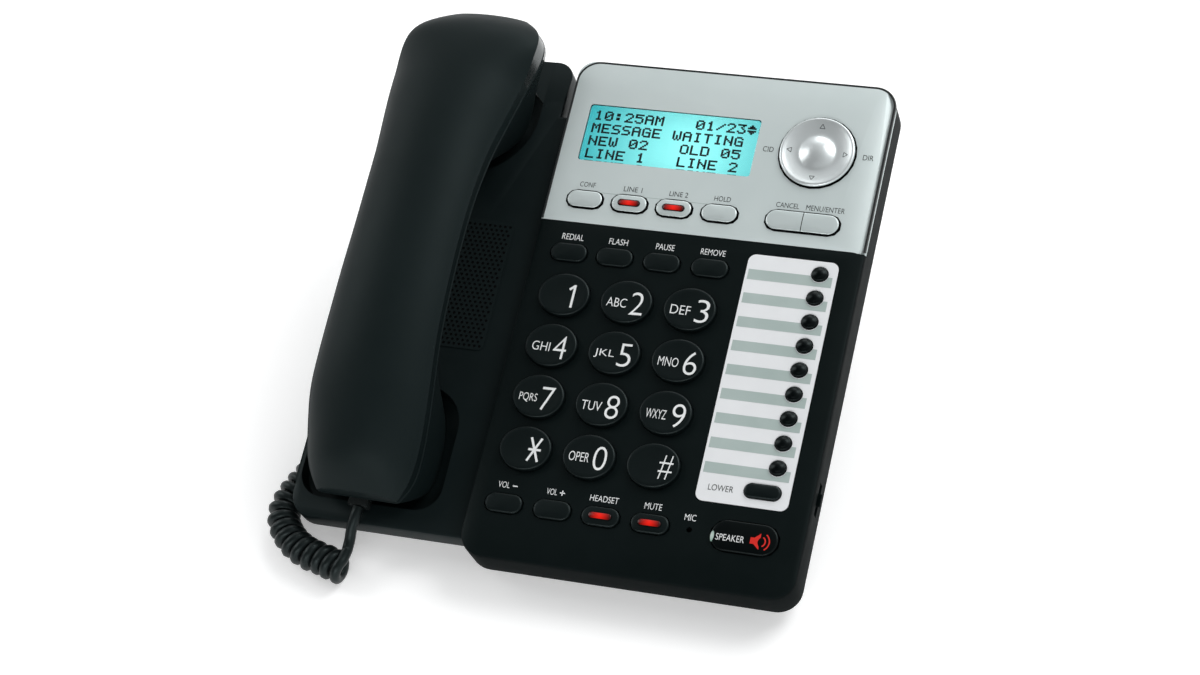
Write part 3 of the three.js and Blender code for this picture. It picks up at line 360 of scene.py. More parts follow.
def loft(name, solids, matrix=FACE):
    """Closed skins, each over its own rings of the same number of points."""
    points, faces = [], []
    for rings in solids:
        count, first = len(rings[0]), len(points)
        points += [p for ring in rings for p in ring]
        for start in range(first, len(points) - count, count):
            for k in range(count):
                a, b = start + k, start + (k + 1) % count
                faces.append((a, b, b + count, a + count))
        faces.append(tuple(reversed(range(first, first + count))))
        faces.append(tuple(range(len(points) - count, len(points))))
    return mesh_from(name, points, faces, matrix)


def solid(name, rings, material, body, smooth_angle=None, matrix=FACE):
    mesh = loft(name, [rings], matrix)
    return finish_piece(name, mesh, material, body, smooth_angle)


def flat_rings(name, rings, material, body, matrix=FACE):
    """Flat faces, one for each ring."""
    points, faces = [], []
    for ring in rings:
        faces.append(tuple(range(len(points), len(points) + len(ring))))
        points.extend(ring)
    return finish_piece(name, plain_mesh(name, points, faces, matrix), material, body)


def filled(name, outlines, low, high, material):
    """A flat plate with holes: the first outline is its edge and the others are its holes."""
    curve = bpy.data.curves.new(name, "CURVE")
    curve.dimensions = "2D"
    curve.fill_mode = "BOTH"
    curve.extrude = (high - low) / 2
    for outline in outlines:
        spline = curve.splines.new("POLY")
        spline.points.add(len(outline) - 1)
        for point, place in zip(spline.points, outline):
            point.co = (place[0], place[1], 0, 1)
        spline.use_cyclic_u = True
    holder = bpy.data.objects.new(name, curve)
    mesh = bpy.data.meshes.new_from_object(holder)
    mesh.transform(FACE @ Matrix.Translation((0, 0, (low + high) / 2)))
    bpy.data.objects.remove(holder)
    bpy.data.curves.remove(curve)
    return finish_piece(name, mesh, material, "phone_base")


def paint_where(mesh, material, wanted):
    """Gives the material to the faces whose middle and normal, in the face frame, are wanted."""
    back = FACE.inverted()
    turn = FACE.to_3x3().normalized().inverted()
    mesh.materials.append(material)
    for polygon in mesh.polygons:
        if wanted(back @ polygon.center, turn @ polygon.normal):
            polygon.material_index = len(mesh.materials) - 1


# Outlines, as points in the face frame

def quad(x0, x1, y0, y1, z):
    return [(x0, y0, z), (x1, y0, z), (x1, y1, z), (x0, y1, z)]


def ellipse(x, y, width, height, z, steps=64):
    turns = [2 * pi * k / steps for k in range(steps)]
    return [(x + width / 2 * cos(t), y + height / 2 * sin(t), z) for t in turns]


def bar(x, y, width, height, z, steps=64):
    """A bar with full round ends."""
    radius = min(width, height) / 2
    reach = width / 2 - radius
    turns = [2 * pi * (k + 0.5) / steps for k in range(steps)]
    return [(x + copysign(reach, cos(t)) + radius * cos(t), y + radius * sin(t), z) for t in turns]


def corner(x, y, radius, start, z, steps):
    """A quarter of a circle from an angle in degrees."""
    turns = [radians(start + 90 * k / steps) for k in range(steps + 1)]
    return [(x + radius * cos(t), y + radius * sin(t), z) for t in turns]


def rounded(x0, x1, y0, y1, radius, z=0.0):
    left, right, front, rear = x0 + radius, x1 - radius, y0 + radius, y1 - radius
    return [point for x, y, start in ((right, front, -90), (right, rear, 0), (left, rear, 90),
                                      (left, front, 180))
            for point in corner(x, y, radius, start, z, 6)]


# The cord: one curly handset cord from the handset's plug to the base's

WIRE = 4.2
COIL_RADIUS = 4.4
COIL_PITCH = 4.6
COIL_LEVEL = 6.6
TURN_POINTS = 16
START_TURN = radians(98)
AXIS_STEPS, LEAD_STEPS = 24, 5
# How many points are left off the coil's end and the base lead's start, where the two join.
COIL_TRIM, TAIL_TRIM = 7, 3
WIRE_SIDES = 12
# Between these two places the wire passes from riding on the base to riding on the handset.
BLEND_START, BLEND_RUN = Vector((-100, -98, COIL_LEVEL)), Vector((23.4, -7.0, 0))
HANDSET_LEAD = [(-71.9, -90.2, 21.1), (-72.2, -93.2, 19.9), (-73.2, -96.7, 16.8),
                (-73.7, -100, 13.2), (-74.0, -103.6, 11.1)]
COIL_AXIS = [(-74.4, -108.9), (-77.7, -108.1), (-80.8, -107.1), (-84, -106), (-89.3, -104.7),
             (-94.5, -102.4), (-98.6, -99.7), (-102.2, -96.2), (-105.2, -92.2), (-107, -87.8),
             (-107.4, -83.5), (-106.9, -79.3), (-105.9, -75.2), (-104.2, -70), (-101.8, -64),
             (-99.2, -57), (-97, -48), (-95.4, -38), (-94.4, -26), (-94, -12), (-94, 4),
             (-94, 20), (-94.3, 36), (-95, 52), (-96, 68), (-97.6, 84)]
BASE_LEAD = [(-98.5, 89, 5), (-100.8, 93, 3.1), (-104.4, 95.4, 2.6), (-108.6, 95.4, 2.5),
             (-112.2, 92.8, 2.6), (-114.4, 88.4, 3.4), (-115.4, 82.6, 7.4), (-115.6, 76.6, 14.6),
             (-115.2, 71, 24), (-113.6, 66.4, 35), (-110, 63.4, 44.4), (-104.6, 62.3, 49.8),
             (-98.2, 62.1, 51.1)]
UP = Vector((0, 0, 1))


def smooth_line(points, per_span):
    """A Catmull-Rom line through the points."""
    points = [Vector(p) for p in points]
    padded = [2 * points[0] - points[1], *points, 2 * points[-1] - points[-2]]
    line = []
    for k in range(1, len(padded) - 2):
        a, b, c, d = padded[k - 1:k + 3]
        for step in range(per_span):
            t = step / per_span
            line.append(0.5 * (2 * b + (c - a) * t + (2 * a - 5 * b + 4 * c - d) * t * t
                               + (3 * b - a - 3 * c + d) * t ** 3))
    return [*line, points[-1]]


def even_line(points, step):
    """The line again, with its points step apart."""
    out, left = [points[0]], step
    for a, b in zip(points, points[1:]):
        length = (b - a).length
        at = left
        while at <= length:
            out.append(a.lerp(b, at / length))
            at += step
        left = at - length
    return out


def heading(line, k):
    return line[min(k + 1, len(line) - 1)] - line[max(k - 1, 0)]


def coil_line():
    axis = smooth_line([(x, y, COIL_LEVEL) for x, y in COIL_AXIS], AXIS_STEPS)
    axis = even_line(axis, COIL_PITCH / TURN_POINTS)
    line = []
    for k, point in enumerate(axis):
        side = UP.cross(heading(axis, k)).normalized()
        turn = START_TURN - 2 * pi * k / TURN_POINTS
        line.append(point + COIL_RADIUS * (side * cos(turn) + UP * sin(turn)))
    return line


def tube(line, radius):
    """Rings along a line, each turned the least from the one before."""
    turns = [2 * pi * s / WIRE_SIDES for s in range(WIRE_SIDES)]
    rings, across = [], None
    for k, point in enumerate(line):
        ahead = heading(line, k).normalized()
        across = UP.cross(ahead) if across is None else across - ahead * across.dot(ahead)
        across = across.normalized()
        up = ahead.cross(across)
        rings.append([point + radius * (across * cos(a) + up * sin(a)) for a in turns])
    return rings


def make_cord():
    lead = smooth_line(HANDSET_LEAD, LEAD_STEPS)
    coil = coil_line()[:-COIL_TRIM]
    tail = smooth_line(BASE_LEAD, LEAD_STEPS)[TAIL_TRIM:]
    route = smooth_line([*lead, *coil, *tail], 1)
    cord = solid("curly_cord", tube(route, WIRE / 2), cord_black, None, 60, MILLIMETRES)
    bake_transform(cord, "phone_base", "handset", start=BLEND_START * MM, end=BLEND_START * MM + BLEND_RUN * MM)
    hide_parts("handset_lead", "cord_coil", "base_lead")


# Skins: copies of the housings with softened edges

CONSOLE_HALVES = (64.35, 104.25)
CONSOLE_RADIUS = 9
CONSOLE_RIM = 1.7
CRADLE_EDGE = -0.05


def rim_distance(point):
    """How far a face frame point is from the console's outline, inside it, in millimetres."""
    reach = [abs(point[k] - half) - half + CONSOLE_RADIUS for k, half in enumerate(CONSOLE_HALVES)]
    outside = hypot(max(reach[0], 0), max(reach[1], 0))
    return CONSOLE_RADIUS - outside - min(max(reach), 0)


def skin(node, material, width=0.25, edge_material=-1):
    """The node's own shape with its edges rounded a little, which stands for the node. The
    rounding may take another of the mesh's materials, by number."""
    crease = 32
    mesh = frame["nodes"][node].data.copy()
    work = bmesh.new()
    work.from_mesh(mesh)
    bmesh.ops.remove_doubles(work, verts=work.verts, dist=2e-6)
    bmesh.ops.dissolve_limit(work, angle_limit=radians(0.4), verts=work.verts, edges=work.edges)
    work.to_mesh(mesh)
    work.free()
    for name in [a.name for a in mesh.attributes if a.name == "custom_normal"]:
        mesh.attributes.remove(mesh.attributes[name])
    obj = finish_piece(node + "_skin", mesh, material, body_of(node), crease)
    soft = obj.modifiers.new("edges", "BEVEL")
    soft.width = width * MM
    soft.segments = 2
    soft.limit_method = "ANGLE"
    soft.angle_limit = radians(crease)
    soft.harden_normals = True
    soft.use_clamp_overlap = True
    soft.material = edge_material
    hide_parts(node)
    return obj


def make_skins():
    skins = {
        "top_housing": skin("top_housing", black),
        # The plate's rounded edges take its second material, the dark of its chamfers: painted shade.
        "faceplate": skin("faceplate", silver, 0.45, edge_material=1),
        "index_card": make_card(),
        "base_shell": skin("base_shell", underside_black),
        "desk_stand": skin("desk_stand", underside_black, 0.4),
    }
    housing = skins["top_housing"].data
    # The plate's steep faces are painted dark: painted shade.
    paint_where(skins["faceplate"].data, edge_painted_shade, lambda middle, normal: normal.z < 0.6)
    paint_where(housing, side_black,
                lambda middle, normal: normal.z < 0.9 and rim_distance(middle) < CONSOLE_RIM)
    # The cradle's faces take the lighter copy of the housing black: painted light.
    paint_where(housing, cradle_painted_light_black, lambda middle, normal: middle.x < CRADLE_EDGE)
    return skins


# The handset's two shells

# Shares of its length, of its half width for the widths and the leans to one side, and of its
# height for the levels of its crown, seam and underside.
STATIONS = [0, 0.015, 0.04, 0.1, 0.18, 0.225, 0.26, 0.32, 0.4, 0.5, 0.6, 0.68, 0.72, 0.76, 0.79,
            0.84, 0.87, 0.92, 0.955, 0.985, 1]
WIDTHS = [0.62, 0.73, 0.8, 0.87, 0.905, 0.885, 0.87, 0.845, 0.83, 0.815, 0.825, 0.855, 0.89,
          0.935, 0.965, 1.005, 1.03, 1.045, 1, 0.86, 0.6]
LEANS = [0.045, 0.045, 0.04, 0.03, 0.01, 0.005, 0.005, 0, -0.005, -0.01, -0.015, -0.02, -0.02,
         -0.015, -0.005, 0.01, 0.03, 0.085, 0.13, 0.15, 0.15]
CROWNS = [0.44, 0.57, 0.67, 0.78, 0.88, 0.92, 0.945, 0.97, 0.99, 1, 0.995, 0.985, 0.978, 0.968,
          0.958, 0.937, 0.918, 0.87, 0.82, 0.73, 0.61]
SEAMS = [0.31, 0.29, 0.31, 0.4, 0.53, 0.57, 0.61, 0.65, 0.68, 0.69, 0.68, 0.63, 0.61, 0.58,
         0.57, 0.54, 0.53, 0.51, 0.49, 0.46, 0.45]
BOTTOMS = [0.28, 0.15, 0, 0, 0, 0.1, 0.28, 0.46, 0.56, 0.6, 0.58, 0.47, 0.3, 0.09, 0, 0, 0.2,
           0.35, 0.37, 0.38, 0.4]
BOTTOM_WIDTHS = [0.57, 0.78, 0.87, 0.92, 0.9, 0.79, 0.7, 0.64, 0.61, 0.6, 0.61, 0.65, 0.69,
                 0.74, 0.83, 0.91, 0.95, 0.97, 0.97, 0.9, 0.68]
STATION_COUNT = 110
EASING_PASSES = 14
HANDSET_LENGTH, HANDSET_HALF, HANDSET_HEIGHT = 201, 26.4, 45.7
CUP_LEVEL = -12.2
HANDSET = FACE @ Matrix.Translation((-42.398, 116, 0)) @ Matrix.Rotation(radians(-0.65), 4, "Z")
SHOULDER = 5.5
RIDGE = 0.35
SEAM_GAP, SEAM_GROOVE = 0.15, 0.45
ARCH_STEPS, ARCH_LIMIT = 33, radians(62)
# The cheeks are the ear end's steep sides: where they start and are full, and their height's
# share. Their gloss on the right is a wedge that widens from the seam towards the tip.
CHEEK_START, CHEEK_FULL, CHEEK_SHARE = 0.84, 0.95, 0.6
CHEEK_GLOSS_START, CHEEK_GLOSS_SLOPE, CHEEK_SEAM = 182, 0.7, 11.3
# The sound holes, flat dark discs for the shade inside real holes (painted shade): the two
# patches' middles, their radius, the holes' pitch and width, and how far they are drawn below
# the cups.
SOUND_MIDDLES = (-78, 59)
SOUND_REACH, SOUND_PITCH, SOUND_HOLE, SOUND_DROP = 8, 2.9, 1.3, 0.03
# How far one row of holes is from the next, as a share of their pitch.
ROW_SHARE = 0.866


def eased(values, places):
    """The table read at even places along the handset, then smoothed so that no crease shows."""
    slopes = []
    for k in range(len(values)):
        before, after = max(k - 1, 0), min(k + 1, len(values) - 1)
        slopes.append((values[after] - values[before]) / (STATIONS[after] - STATIONS[before]))
    read = []
    for place in places:
        k = max(i for i in range(len(STATIONS) - 1) if STATIONS[i] <= place)
        width = STATIONS[k + 1] - STATIONS[k]
        t = (place - STATIONS[k]) / width
        a, b = values[k], values[k + 1]
        m, n = slopes[k] * width, slopes[k + 1] * width
        read.append(a + m * t + (3 * (b - a) - 2 * m - n) * t * t + (m + n - 2 * (b - a)) * t ** 3)
    for _ in range(EASING_PASSES):
        middle = [(read[k - 1] + 2 * read[k] + read[k + 1]) / 4 for k in range(1, len(read) - 1)]
        read = [read[0], *middle, read[-1]]
    return read


def handset_stations():
    places = [k / STATION_COUNT for k in range(STATION_COUNT + 1)]
    tables = (WIDTHS, LEANS, CROWNS, SEAMS, BOTTOMS, BOTTOM_WIDTHS)
    rows = zip(places, *(eased(table, places) for table in tables))
    for share, width, lean, crown, seam, bottom, bottom_width in rows:
        cheek = min(max((share - CHEEK_START) / (CHEEK_FULL - CHEEK_START), 0), 1)
        yield {
            "y": (share - 0.5) * HANDSET_LENGTH,
            "lean": lean * HANDSET_HALF,
            "half": width * HANDSET_HALF,
            "crown": CUP_LEVEL + crown * HANDSET_HEIGHT,
            "seam": CUP_LEVEL + seam * HANDSET_HEIGHT,
            "bottom": CUP_LEVEL + bottom * HANDSET_HEIGHT,
            "bottom_half": bottom_width * HANDSET_HALF,
            "cheek": cheek ** 2 * (3 - 2 * cheek),
        }


def mirrored(place, right, crown=()):
    """A ring from (x, z) points: the crown's, the right side's and the same side on the left."""
    left = [(-x, z) for x, z in reversed(right)]
    return [(place["lean"] + x, place["y"], z) for x, z in (*crown, *right, *left)]


def arch_ring(place):
    half, crown, seam = (place[k] for k in ("half", "crown", "seam"))
    floor = seam + SEAM_GAP
    low_shoulder = min(SHOULDER, (crown - seam) / 3)
    steep = place["cheek"] * (CHEEK_SHARE * (crown - seam) - low_shoulder)
    shoulder = seam + low_shoulder + steep
    arch = []
    for k in range(ARCH_STEPS):
        angle = ARCH_LIMIT * (2 * k / (ARCH_STEPS - 1) - 1)
        rise = (cos(angle) - cos(ARCH_LIMIT)) / (1 - cos(ARCH_LIMIT))
        arch.append((sin(angle) / sin(ARCH_LIMIT) * (half - RIDGE), shoulder + rise * (crown - shoulder)))
    right = [(half, shoulder - RIDGE), (half, floor + SEAM_GROOVE), (half - SEAM_GROOVE, floor)]
    return mirrored(place, right, arch)


def trough_ring(place):
    half, seam, low, bottom_half = (place[k] for k in ("half", "seam", "bottom", "bottom_half"))
    ceiling = seam - SEAM_GAP
    bend = min(2.4, min(half, max(bottom_half, half * 0.4)) / 2)

    def at(in_share, down_share):
        return (half + (bottom_half - half) * in_share, 0, ceiling + (low - ceiling) * down_share)
    side = smooth_line([(half, 0, ceiling - SEAM_GROOVE), at(0.5, 0.5), at(0.9, 0.85),
                        (bottom_half - bend / 2, 0, ceiling + (low - ceiling) * 0.96),
                        (bottom_half - bend * 1.5, 0, low)], 4)
    return mirrored(place, [(half - SEAM_GROOVE, ceiling), *((p.x, p.z) for p in side)])


def in_cheek(middle, normal):
    reach = middle.y - CHEEK_GLOSS_START
    return normal.x > 0.8 and abs(middle.z - CHEEK_SEAM) < CHEEK_GLOSS_SLOPE * reach


def make_handset():
    places = list(handset_stations())
    for side, ring in (("outer", arch_ring), ("inner", trough_ring)):
        shell = solid(f"handset_{side}_skin", [ring(p) for p in places], satin_black, "handset",
                      24, HANDSET)
        paint_where(shell.data, cheek_black, in_cheek)
        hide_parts(f"handset_{side}_shell")
    dots = []
    for middle in SOUND_MIDDLES:
        for i in range(-3, 4):
            for j in range(-3, 4):
                x, y = SOUND_PITCH * (i + j / 2), SOUND_PITCH * j * ROW_SHARE
                if hypot(x, y) < SOUND_REACH:
                    dots.append(ellipse(x, middle + y, SOUND_HOLE, SOUND_HOLE,
                                        CUP_LEVEL - SOUND_DROP, 10))
    # Flat dark discs stand for the holes' shade: painted shade.
    flat_rings("handset_sound_holes", dots, screen_black, "handset", HANDSET)


# Keys: each cap is drawn where its node is, with a rounded rim and a dished or domed crown

FLANGE = 0.9
FLANGE_HEIGHT = 1.3
KEY_GAP = 0.3
CAP_RIM = 0.8
CROWN_SHARES = (0.85, 0.65, 0.4, 0.15)


def key_cap(node, outline, material, dish, side=0):
    """A cap with flange, wall, rim and crown. A cap with a side of -1 or 1 is the left or right
    half of a pair's outline."""
    low, high = face_box(node)
    x, y, _ = middle_of(low, high)
    width, height = high[0] - low[0] - 2 * FLANGE, high[1] - low[1] - 2 * FLANGE
    if material is silver_key:
        width, height = width - KEY_GAP, height - KEY_GAP
    if side:
        x = low[0] if side > 0 else high[0]
        width = 2 * (high[0] - low[0] - FLANGE) - KEY_GAP
    top = high[2] + min(dish, 0)
    flange_top = low[2] + FLANGE_HEIGHT
    rows = [(-FLANGE, low[2]), (-FLANGE, flange_top), (0, flange_top)]
    for a in (pi / 2 * k / 4 for k in range(5)):
        rows.append((CAP_RIM * (1 - cos(a)), top - CAP_RIM + CAP_RIM * sin(a)))
    rings = [outline(x, y, width - 2 * inset, height - 2 * inset, z) for inset, z in rows]
    base = outline(x, y, width - 2 * CAP_RIM, height - 2 * CAP_RIM, top)
    for share in CROWN_SHARES:
        z = top - dish * (1 - share * share)
        rings.append([(x + (p[0] - x) * share, y + (p[1] - y) * share, z) for p in base])
    if side:
        keep = max if side > 0 else min
        rings = [[(keep(p[0], x), p[1], p[2]) for p in ring] for ring in rings]
    piece = solid(node + "_cap_skin", rings, material, node + "_cap", 40)
    # A silver cap's flange, side walls and steep rim are painted black for the shade in the gap round the key:
    # painted shade.
    if material is silver_key:
        paint_where(piece.data, screen_black, lambda middle, normal: middle.z < -0.3 or normal.z < 0.8)
    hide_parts(node)


def make_keys():
    for name in (*"1234567890", "star", "pound"):
        key_cap(f"key_{name}", ellipse, key_black, 0.3)
    for name in ("redial", "flash", "pause", "remove", "volume_down", "volume_up", "headset",
                 "mute", "lower"):
        key_cap(f"key_{name}", bar, key_black, -0.25)
    key_cap("key_speaker", bar, bead_black, -0.35)
    for name in ("conference", "line_1", "line_2", "hold"):
        key_cap(f"key_{name}", bar, silver_key, -0.35)
    key_cap("key_cancel", bar, silver_key, -0.3, side=-1)
    key_cap("key_menu", bar, silver_key, -0.3, side=1)
    for number in range(1, 10):
        key_cap(f"memory_key_{number}", ellipse, bead_black, -0.7)


# Lettering: plain words and numbers, laid on what carries them

THICK, MEDIUM, THIN = -0.004, -0.006, -0.012
INK_LIFT = 0.05
DIGIT_COLUMNS = (21.3, 47.0, 72.7)
LETTER_COLUMNS = ((10.3, 17.3), (35.0, 42.8), (60.2, 68.0))
DIAL_ROWS = (106.5, 85.2, 64.0, 43.4)
LETTERS = ("", "ABC", "DEF", "GHI", "JKL", "MNO", "PQRS", "TUV", "WXYZ", "", "OPER", "")
HOUSING_WORDS = (("REDIAL", 10.5, 19.2, 130.7, 133.2), ("FLASH", 29.5, 37.0, 130.7, 133.2),
                 ("PAUSE", 48.3, 55.6, 130.7, 133.2), ("REMOVE", 66.1, 75.8, 130.7, 133.2),
                 ("VOL", 10.1, 14.6, 27.8, 30.2), ("VOL", 29.2, 33.3, 27.6, 30.0),
                 ("HEADSET", 46.2, 57.2, 27.5, 29.9), ("MUTE", 67.3, 73.9, 27.3, 29.8),
                 ("MIC", 83.1, 87.4, 25.1, 27.6))
PLATE_WORDS = (("CONF", 12.3, 18.6, 153.6, 155.7), ("LINE 1", 30.2, 37.6, 153.5, 155.6),
               ("LINE 2", 48.6, 56.0, 153.5, 155.6), ("HOLD", 66.5, 73.0, 153.5, 155.6),
               ("CANCEL", 90.9, 99.9, 153.7, 155.8), ("MENU/ENTER", 102.6, 117.6, 153.6, 155.8),
               ("CID", 80.9, 85.1, 176.4, 178.6), ("DIR", 120.1, 124.2, 176.8, 179.0))


def surface_of(piece):
    """A search tree over a piece's faces in the face frame, modifiers left out."""
    turn = FACE.inverted() @ piece.matrix_world
    points = [turn @ v.co for v in piece.data.vertices]
    return BVHTree.FromPolygons(points, [tuple(p.vertices) for p in piece.data.polygons])


def word(text, x0, x1, y0, y1, weight=THICK):
    """The text as points and faces that fill the box, face up."""
    data = bpy.data.curves.new("word", "FONT")
    data.body = text
    data.resolution_u = 5
    data.offset = weight
    holder = bpy.data.objects.new("word", data)
    mesh = bpy.data.meshes.new_from_object(holder)
    low, high = ([pick(v.co[k] for v in mesh.vertices) for k in (0, 1)] for pick in (min, max))
    points = [(x0 + (v.co[0] - low[0]) / (high[0] - low[0]) * (x1 - x0),
               y0 + (v.co[1] - low[1]) / (high[1] - low[1]) * (y1 - y0)) for v in mesh.vertices]
    faces = [tuple(p.vertices) for p in mesh.polygons]
    bpy.data.objects.remove(holder)
    bpy.data.meshes.remove(mesh)
    bpy.data.curves.remove(data)
    return points, faces


def strokes(lines, width):
    """Straight strokes of one width, as points and faces."""
    points, faces = [], []
    for start, end in lines:
        a, b = Vector(start), Vector(end)
        along = (b - a).normalized() * width / 2
        side = Vector((-along.y, along.x))
        faces.append(tuple(range(len(points), len(points) + 4)))
        points += [tuple(p) for p in (a - side, b - side, b + side, a + side)]
    return points, faces


def arc_band(x, y, radius, width, reach):
    """Part of a ring, from -reach to reach degrees."""
    points, steps = [], 12
    for k in range(steps + 1):
        a = radians(-reach + 2 * reach * k / steps)
        for r in (radius - width / 2, radius + width / 2):
            points.append((x + r * cos(a), y + r * sin(a)))
    return points, [(2 * k, 2 * k + 1, 2 * k + 3, 2 * k + 2) for k in range(steps)]


def speaker_symbol(x, y):
    cone = [(x - 3, y - 1.2), (x - 1.6, y - 1.2), (x + 0.6, y - 3.1), (x + 0.6, y + 3.1),
            (x - 1.6, y + 1.2), (x - 3, y + 1.2)]
    return [(cone, [tuple(range(len(cone)))]), arc_band(x + 0.6, y, 2.0, 0.5, 60),
            arc_band(x + 0.6, y, 3.5, 0.5, 55)]


def print_on(name, carrier, marks, material, body, lift=INK_LIFT):
    """Marks laid on the carrier's surface: each mark's points drop onto it from above."""
    tree = surface_of(carrier)
    points, faces = [], []
    for mark_points, mark_faces in marks:
        start = len(points)
        for x, y in mark_points:
            hit = tree.ray_cast(Vector((x, y, 20)), -UP)[0]
            points.append((x, y, (hit.z if hit else 0) + lift))
        faces += [tuple(start + i for i in face) for face in mark_faces]
    finish_piece(name, plain_mesh(name, points, faces), material, body)


def dial_mark(name, x, middle):
    """A dial key's digit or sign, over a box 9.4 mm high."""
    low, high = middle - 4.7, middle + 4.7
    if name == "star":
        return strokes((((x - 2.1, low), (x + 2.1, high)), ((x + 2.1, low), (x - 2.1, high)),
                        ((x - 2.5, middle), (x + 2.5, middle))), 0.9)
    if name == "1":
        return strokes((((x + 0.1, low), (x + 0.1, high)),
                        ((x - 1.9, high - 2.0), (x + 0.1, high - 0.35))), 0.95)
    if name == "pound":
        return word("#", x - 3.0, x + 2.4, low, high, THIN)
    return word(name, x - 2.6, x + 2.6, low, high, THIN)


def make_lettering(skins):
    for index, name in enumerate((*"123456789", "star", "0", "pound")):
        middle, column = DIAL_ROWS[index // 3], index % 3
        marks = [dial_mark(name, DIGIT_COLUMNS[column], middle)]
        if LETTERS[index]:
            marks.append(word(LETTERS[index], *LETTER_COLUMNS[column], middle - 2.1, middle + 1.6,
                              MEDIUM))
        print_on(f"legend_key_{name}", bpy.data.objects[f"key_{name}_cap_skin"], marks, white_ink,
                 f"key_{name}_cap")
    marks = [word(*entry) for entry in HOUSING_WORDS]
    signs = (((15.8, 28.9), (17.7, 28.9)), ((34.3, 28.8), (36.3, 28.8)), ((35.3, 27.8), (35.3, 29.8)))
    print_on("legends_on_housing", skins["top_housing"], [*marks, strokes(signs, 0.45)], white_ink,
             "phone_base")
    print_on("legends_on_faceplate", skins["faceplate"], [word(*entry) for entry in PLATE_WORDS],
             grey_ink, "phone_base")
    print_on("legend_on_card", skins["index_card"], [word("LOWER", 89.2, 98.7, 37.9, 40.3)],
             grey_ink, "phone_base")
    speaker = bpy.data.objects["key_speaker_cap_skin"]
    print_on("legend_key_speaker", speaker, [word("SPEAKER", 96.3, 107.0, 19.1, 21.6)], white_ink,
             "key_speaker_cap")
    print_on("speaker_symbol", speaker, speaker_symbol(112.2, 20.6), red_ink, "key_speaker_cap")


# The screen's characters: a plain dot-matrix face, seven rows of five dots to a character

GLYPHS = {
    "0": "0E11131519110E", "1": "040C040404040E", "2": "0E11010204081F", "3": "1F02040201110E",
    "5": "1F101E0101110E", "7": "1F010204080808", ":": "000C0C000C0C00", "/": "00010204081000",
    "A": "0E11111F111111", "C": "0E11101010110E", "D": "1E11111111111E", "E": "1F10101E10101F",
    "G": "0E11101711110F", "I": "0E04040404040E", "L": "1010101010101F", "M": "111B1515111111",
    "N": "11111915131111", "O": "0E11111111110E", "S": "0F10100E01011E", "T": "1F040404040404",
    "W": "1111111515150A", "^": "040E1F001F0E04",
}
SCREEN_ROWS = ("10:25AM   01/23^", "MESSAGE WAITING", "NEW 02   OLD 05", "LINE 1   LINE 2")
SCREEN_LEFT, SCREEN_TOP = 10.5, 188.0
CHARACTER_PITCH, ROW_PITCH = 4.145, 5.56
DOT_ACROSS, DOT_ALONG = 0.66, 0.575
# A dot's box round its place: left, right, front and rear.
DOT_BOX = (-0.12, 0.76, -0.66, 0.1)
SCREEN_MIDDLE = (52, 174)
SCREEN_REACH = 0.05


def dot_places():
    for row, text in enumerate(SCREEN_ROWS):
        for column, character in enumerate(text):
            for j, bits in enumerate(bytes.fromhex(GLYPHS.get(character, ""))):
                for i in range(5):
                    if bits >> (4 - i) & 1:
                        yield (SCREEN_LEFT + column * CHARACTER_PITCH + i * DOT_ACROSS,
                               SCREEN_TOP - row * ROW_PITCH - j * DOT_ALONG)


def make_screen():
    level = face_box("display_module")[1][2]
    left, right, front, rear = DOT_BOX
    dots = [quad(x + left, x + right, y + front, y + rear, level + INK_LIFT) for x, y in dot_places()]
    flat_rings("screen_characters", dots, lcd_ink, "phone_base")
    middle = FACE @ Vector((*SCREEN_MIDDLE, level))
    wear(frame["nodes"]["display_module"].data,
         glow("display_cyan", (0.04, 0.42, 0.46), (0.30, 0.94, 0.93), 1.0, middle, SCREEN_REACH))


# The lit windows in the keys

LIT_KEYS = (("line_1_light", "key_line_1", 8.2, 2.0), ("line_2_light", "key_line_2", 8.2, 2.0),
            ("headset_light", "key_headset", 8.6, 2.2), ("mute_light", "key_mute", 8.6, 2.2))
WINDOW_LIFT = 0.06
# How much larger than the window each ring of its rim and its lens is, and how far above it.
RIM_ROWS = ((0.9, -0.5), (0.7, 0))
LENS_ROWS = ((0, -0.4), (0, 0.08), (-0.5, 0.2))
# The speaker key's pale glowing patch, partly a light pipe and partly a painted glint, with the
# width, height and level of its two rings, and the middle and reach of its glow.
PALE_PLACE, PALE_ROWS = (94.9, 20.4), ((1.5, 4.2, 0.6), (1.2, 3.6, 1.25))
PALE_HEART, PALE_REACH = Vector((94.4, 20.5, 1.3)), 0.003


def lit_window(name, node, width, height):
    """A red window let into a key's crown, with a dark rim."""
    x, y, _ = middle_of(*face_box(node))
    top = face_box(node)[1][2] + WINDOW_LIFT
    red = glow(name + "_red", (0.05, 0.0, 0.0), (0.75, 0.012, 0.005), 0.9,
               FACE @ Vector((x, y, top)), width * MM / 2)
    rim, lens = ([bar(x, y, width + more, height + more, top + z, 40) for more, z in rows]
                 for rows in (RIM_ROWS, LENS_ROWS))
    solid(name + "_rim", rim, screen_black, node + "_cap", 40)
    solid(name, lens, red, node + "_cap", 50)


def make_windows():
    for entry in LIT_KEYS:
        lit_window(*entry)
    # The pale patch glows for the glint on the speaker key: partly a light pipe, partly a painted highlight.
    pale = glow("speaker_glint_glow", (0.35, 0.6, 0.5), (0.8, 0.95, 0.88), 0.35,
                FACE @ PALE_HEART, PALE_REACH)
    lens = [ellipse(*PALE_PLACE, *row, 24) for row in PALE_ROWS]
    solid("speaker_glint_patch", lens, pale, "key_speaker_cap", 50)


# The card and its printed bands

CARD_RADIUS = 3
CARD_KEY_ROOM = 0.3
BAND_LIFT = 0.04
BAND_LEFT, BAND_RIGHT, BAND_HEIGHT = 86.0, 118.4, 4.2
BAND_DROP, BAND_ARCH, BAND_STEPS = 0.9, 3.5, 28


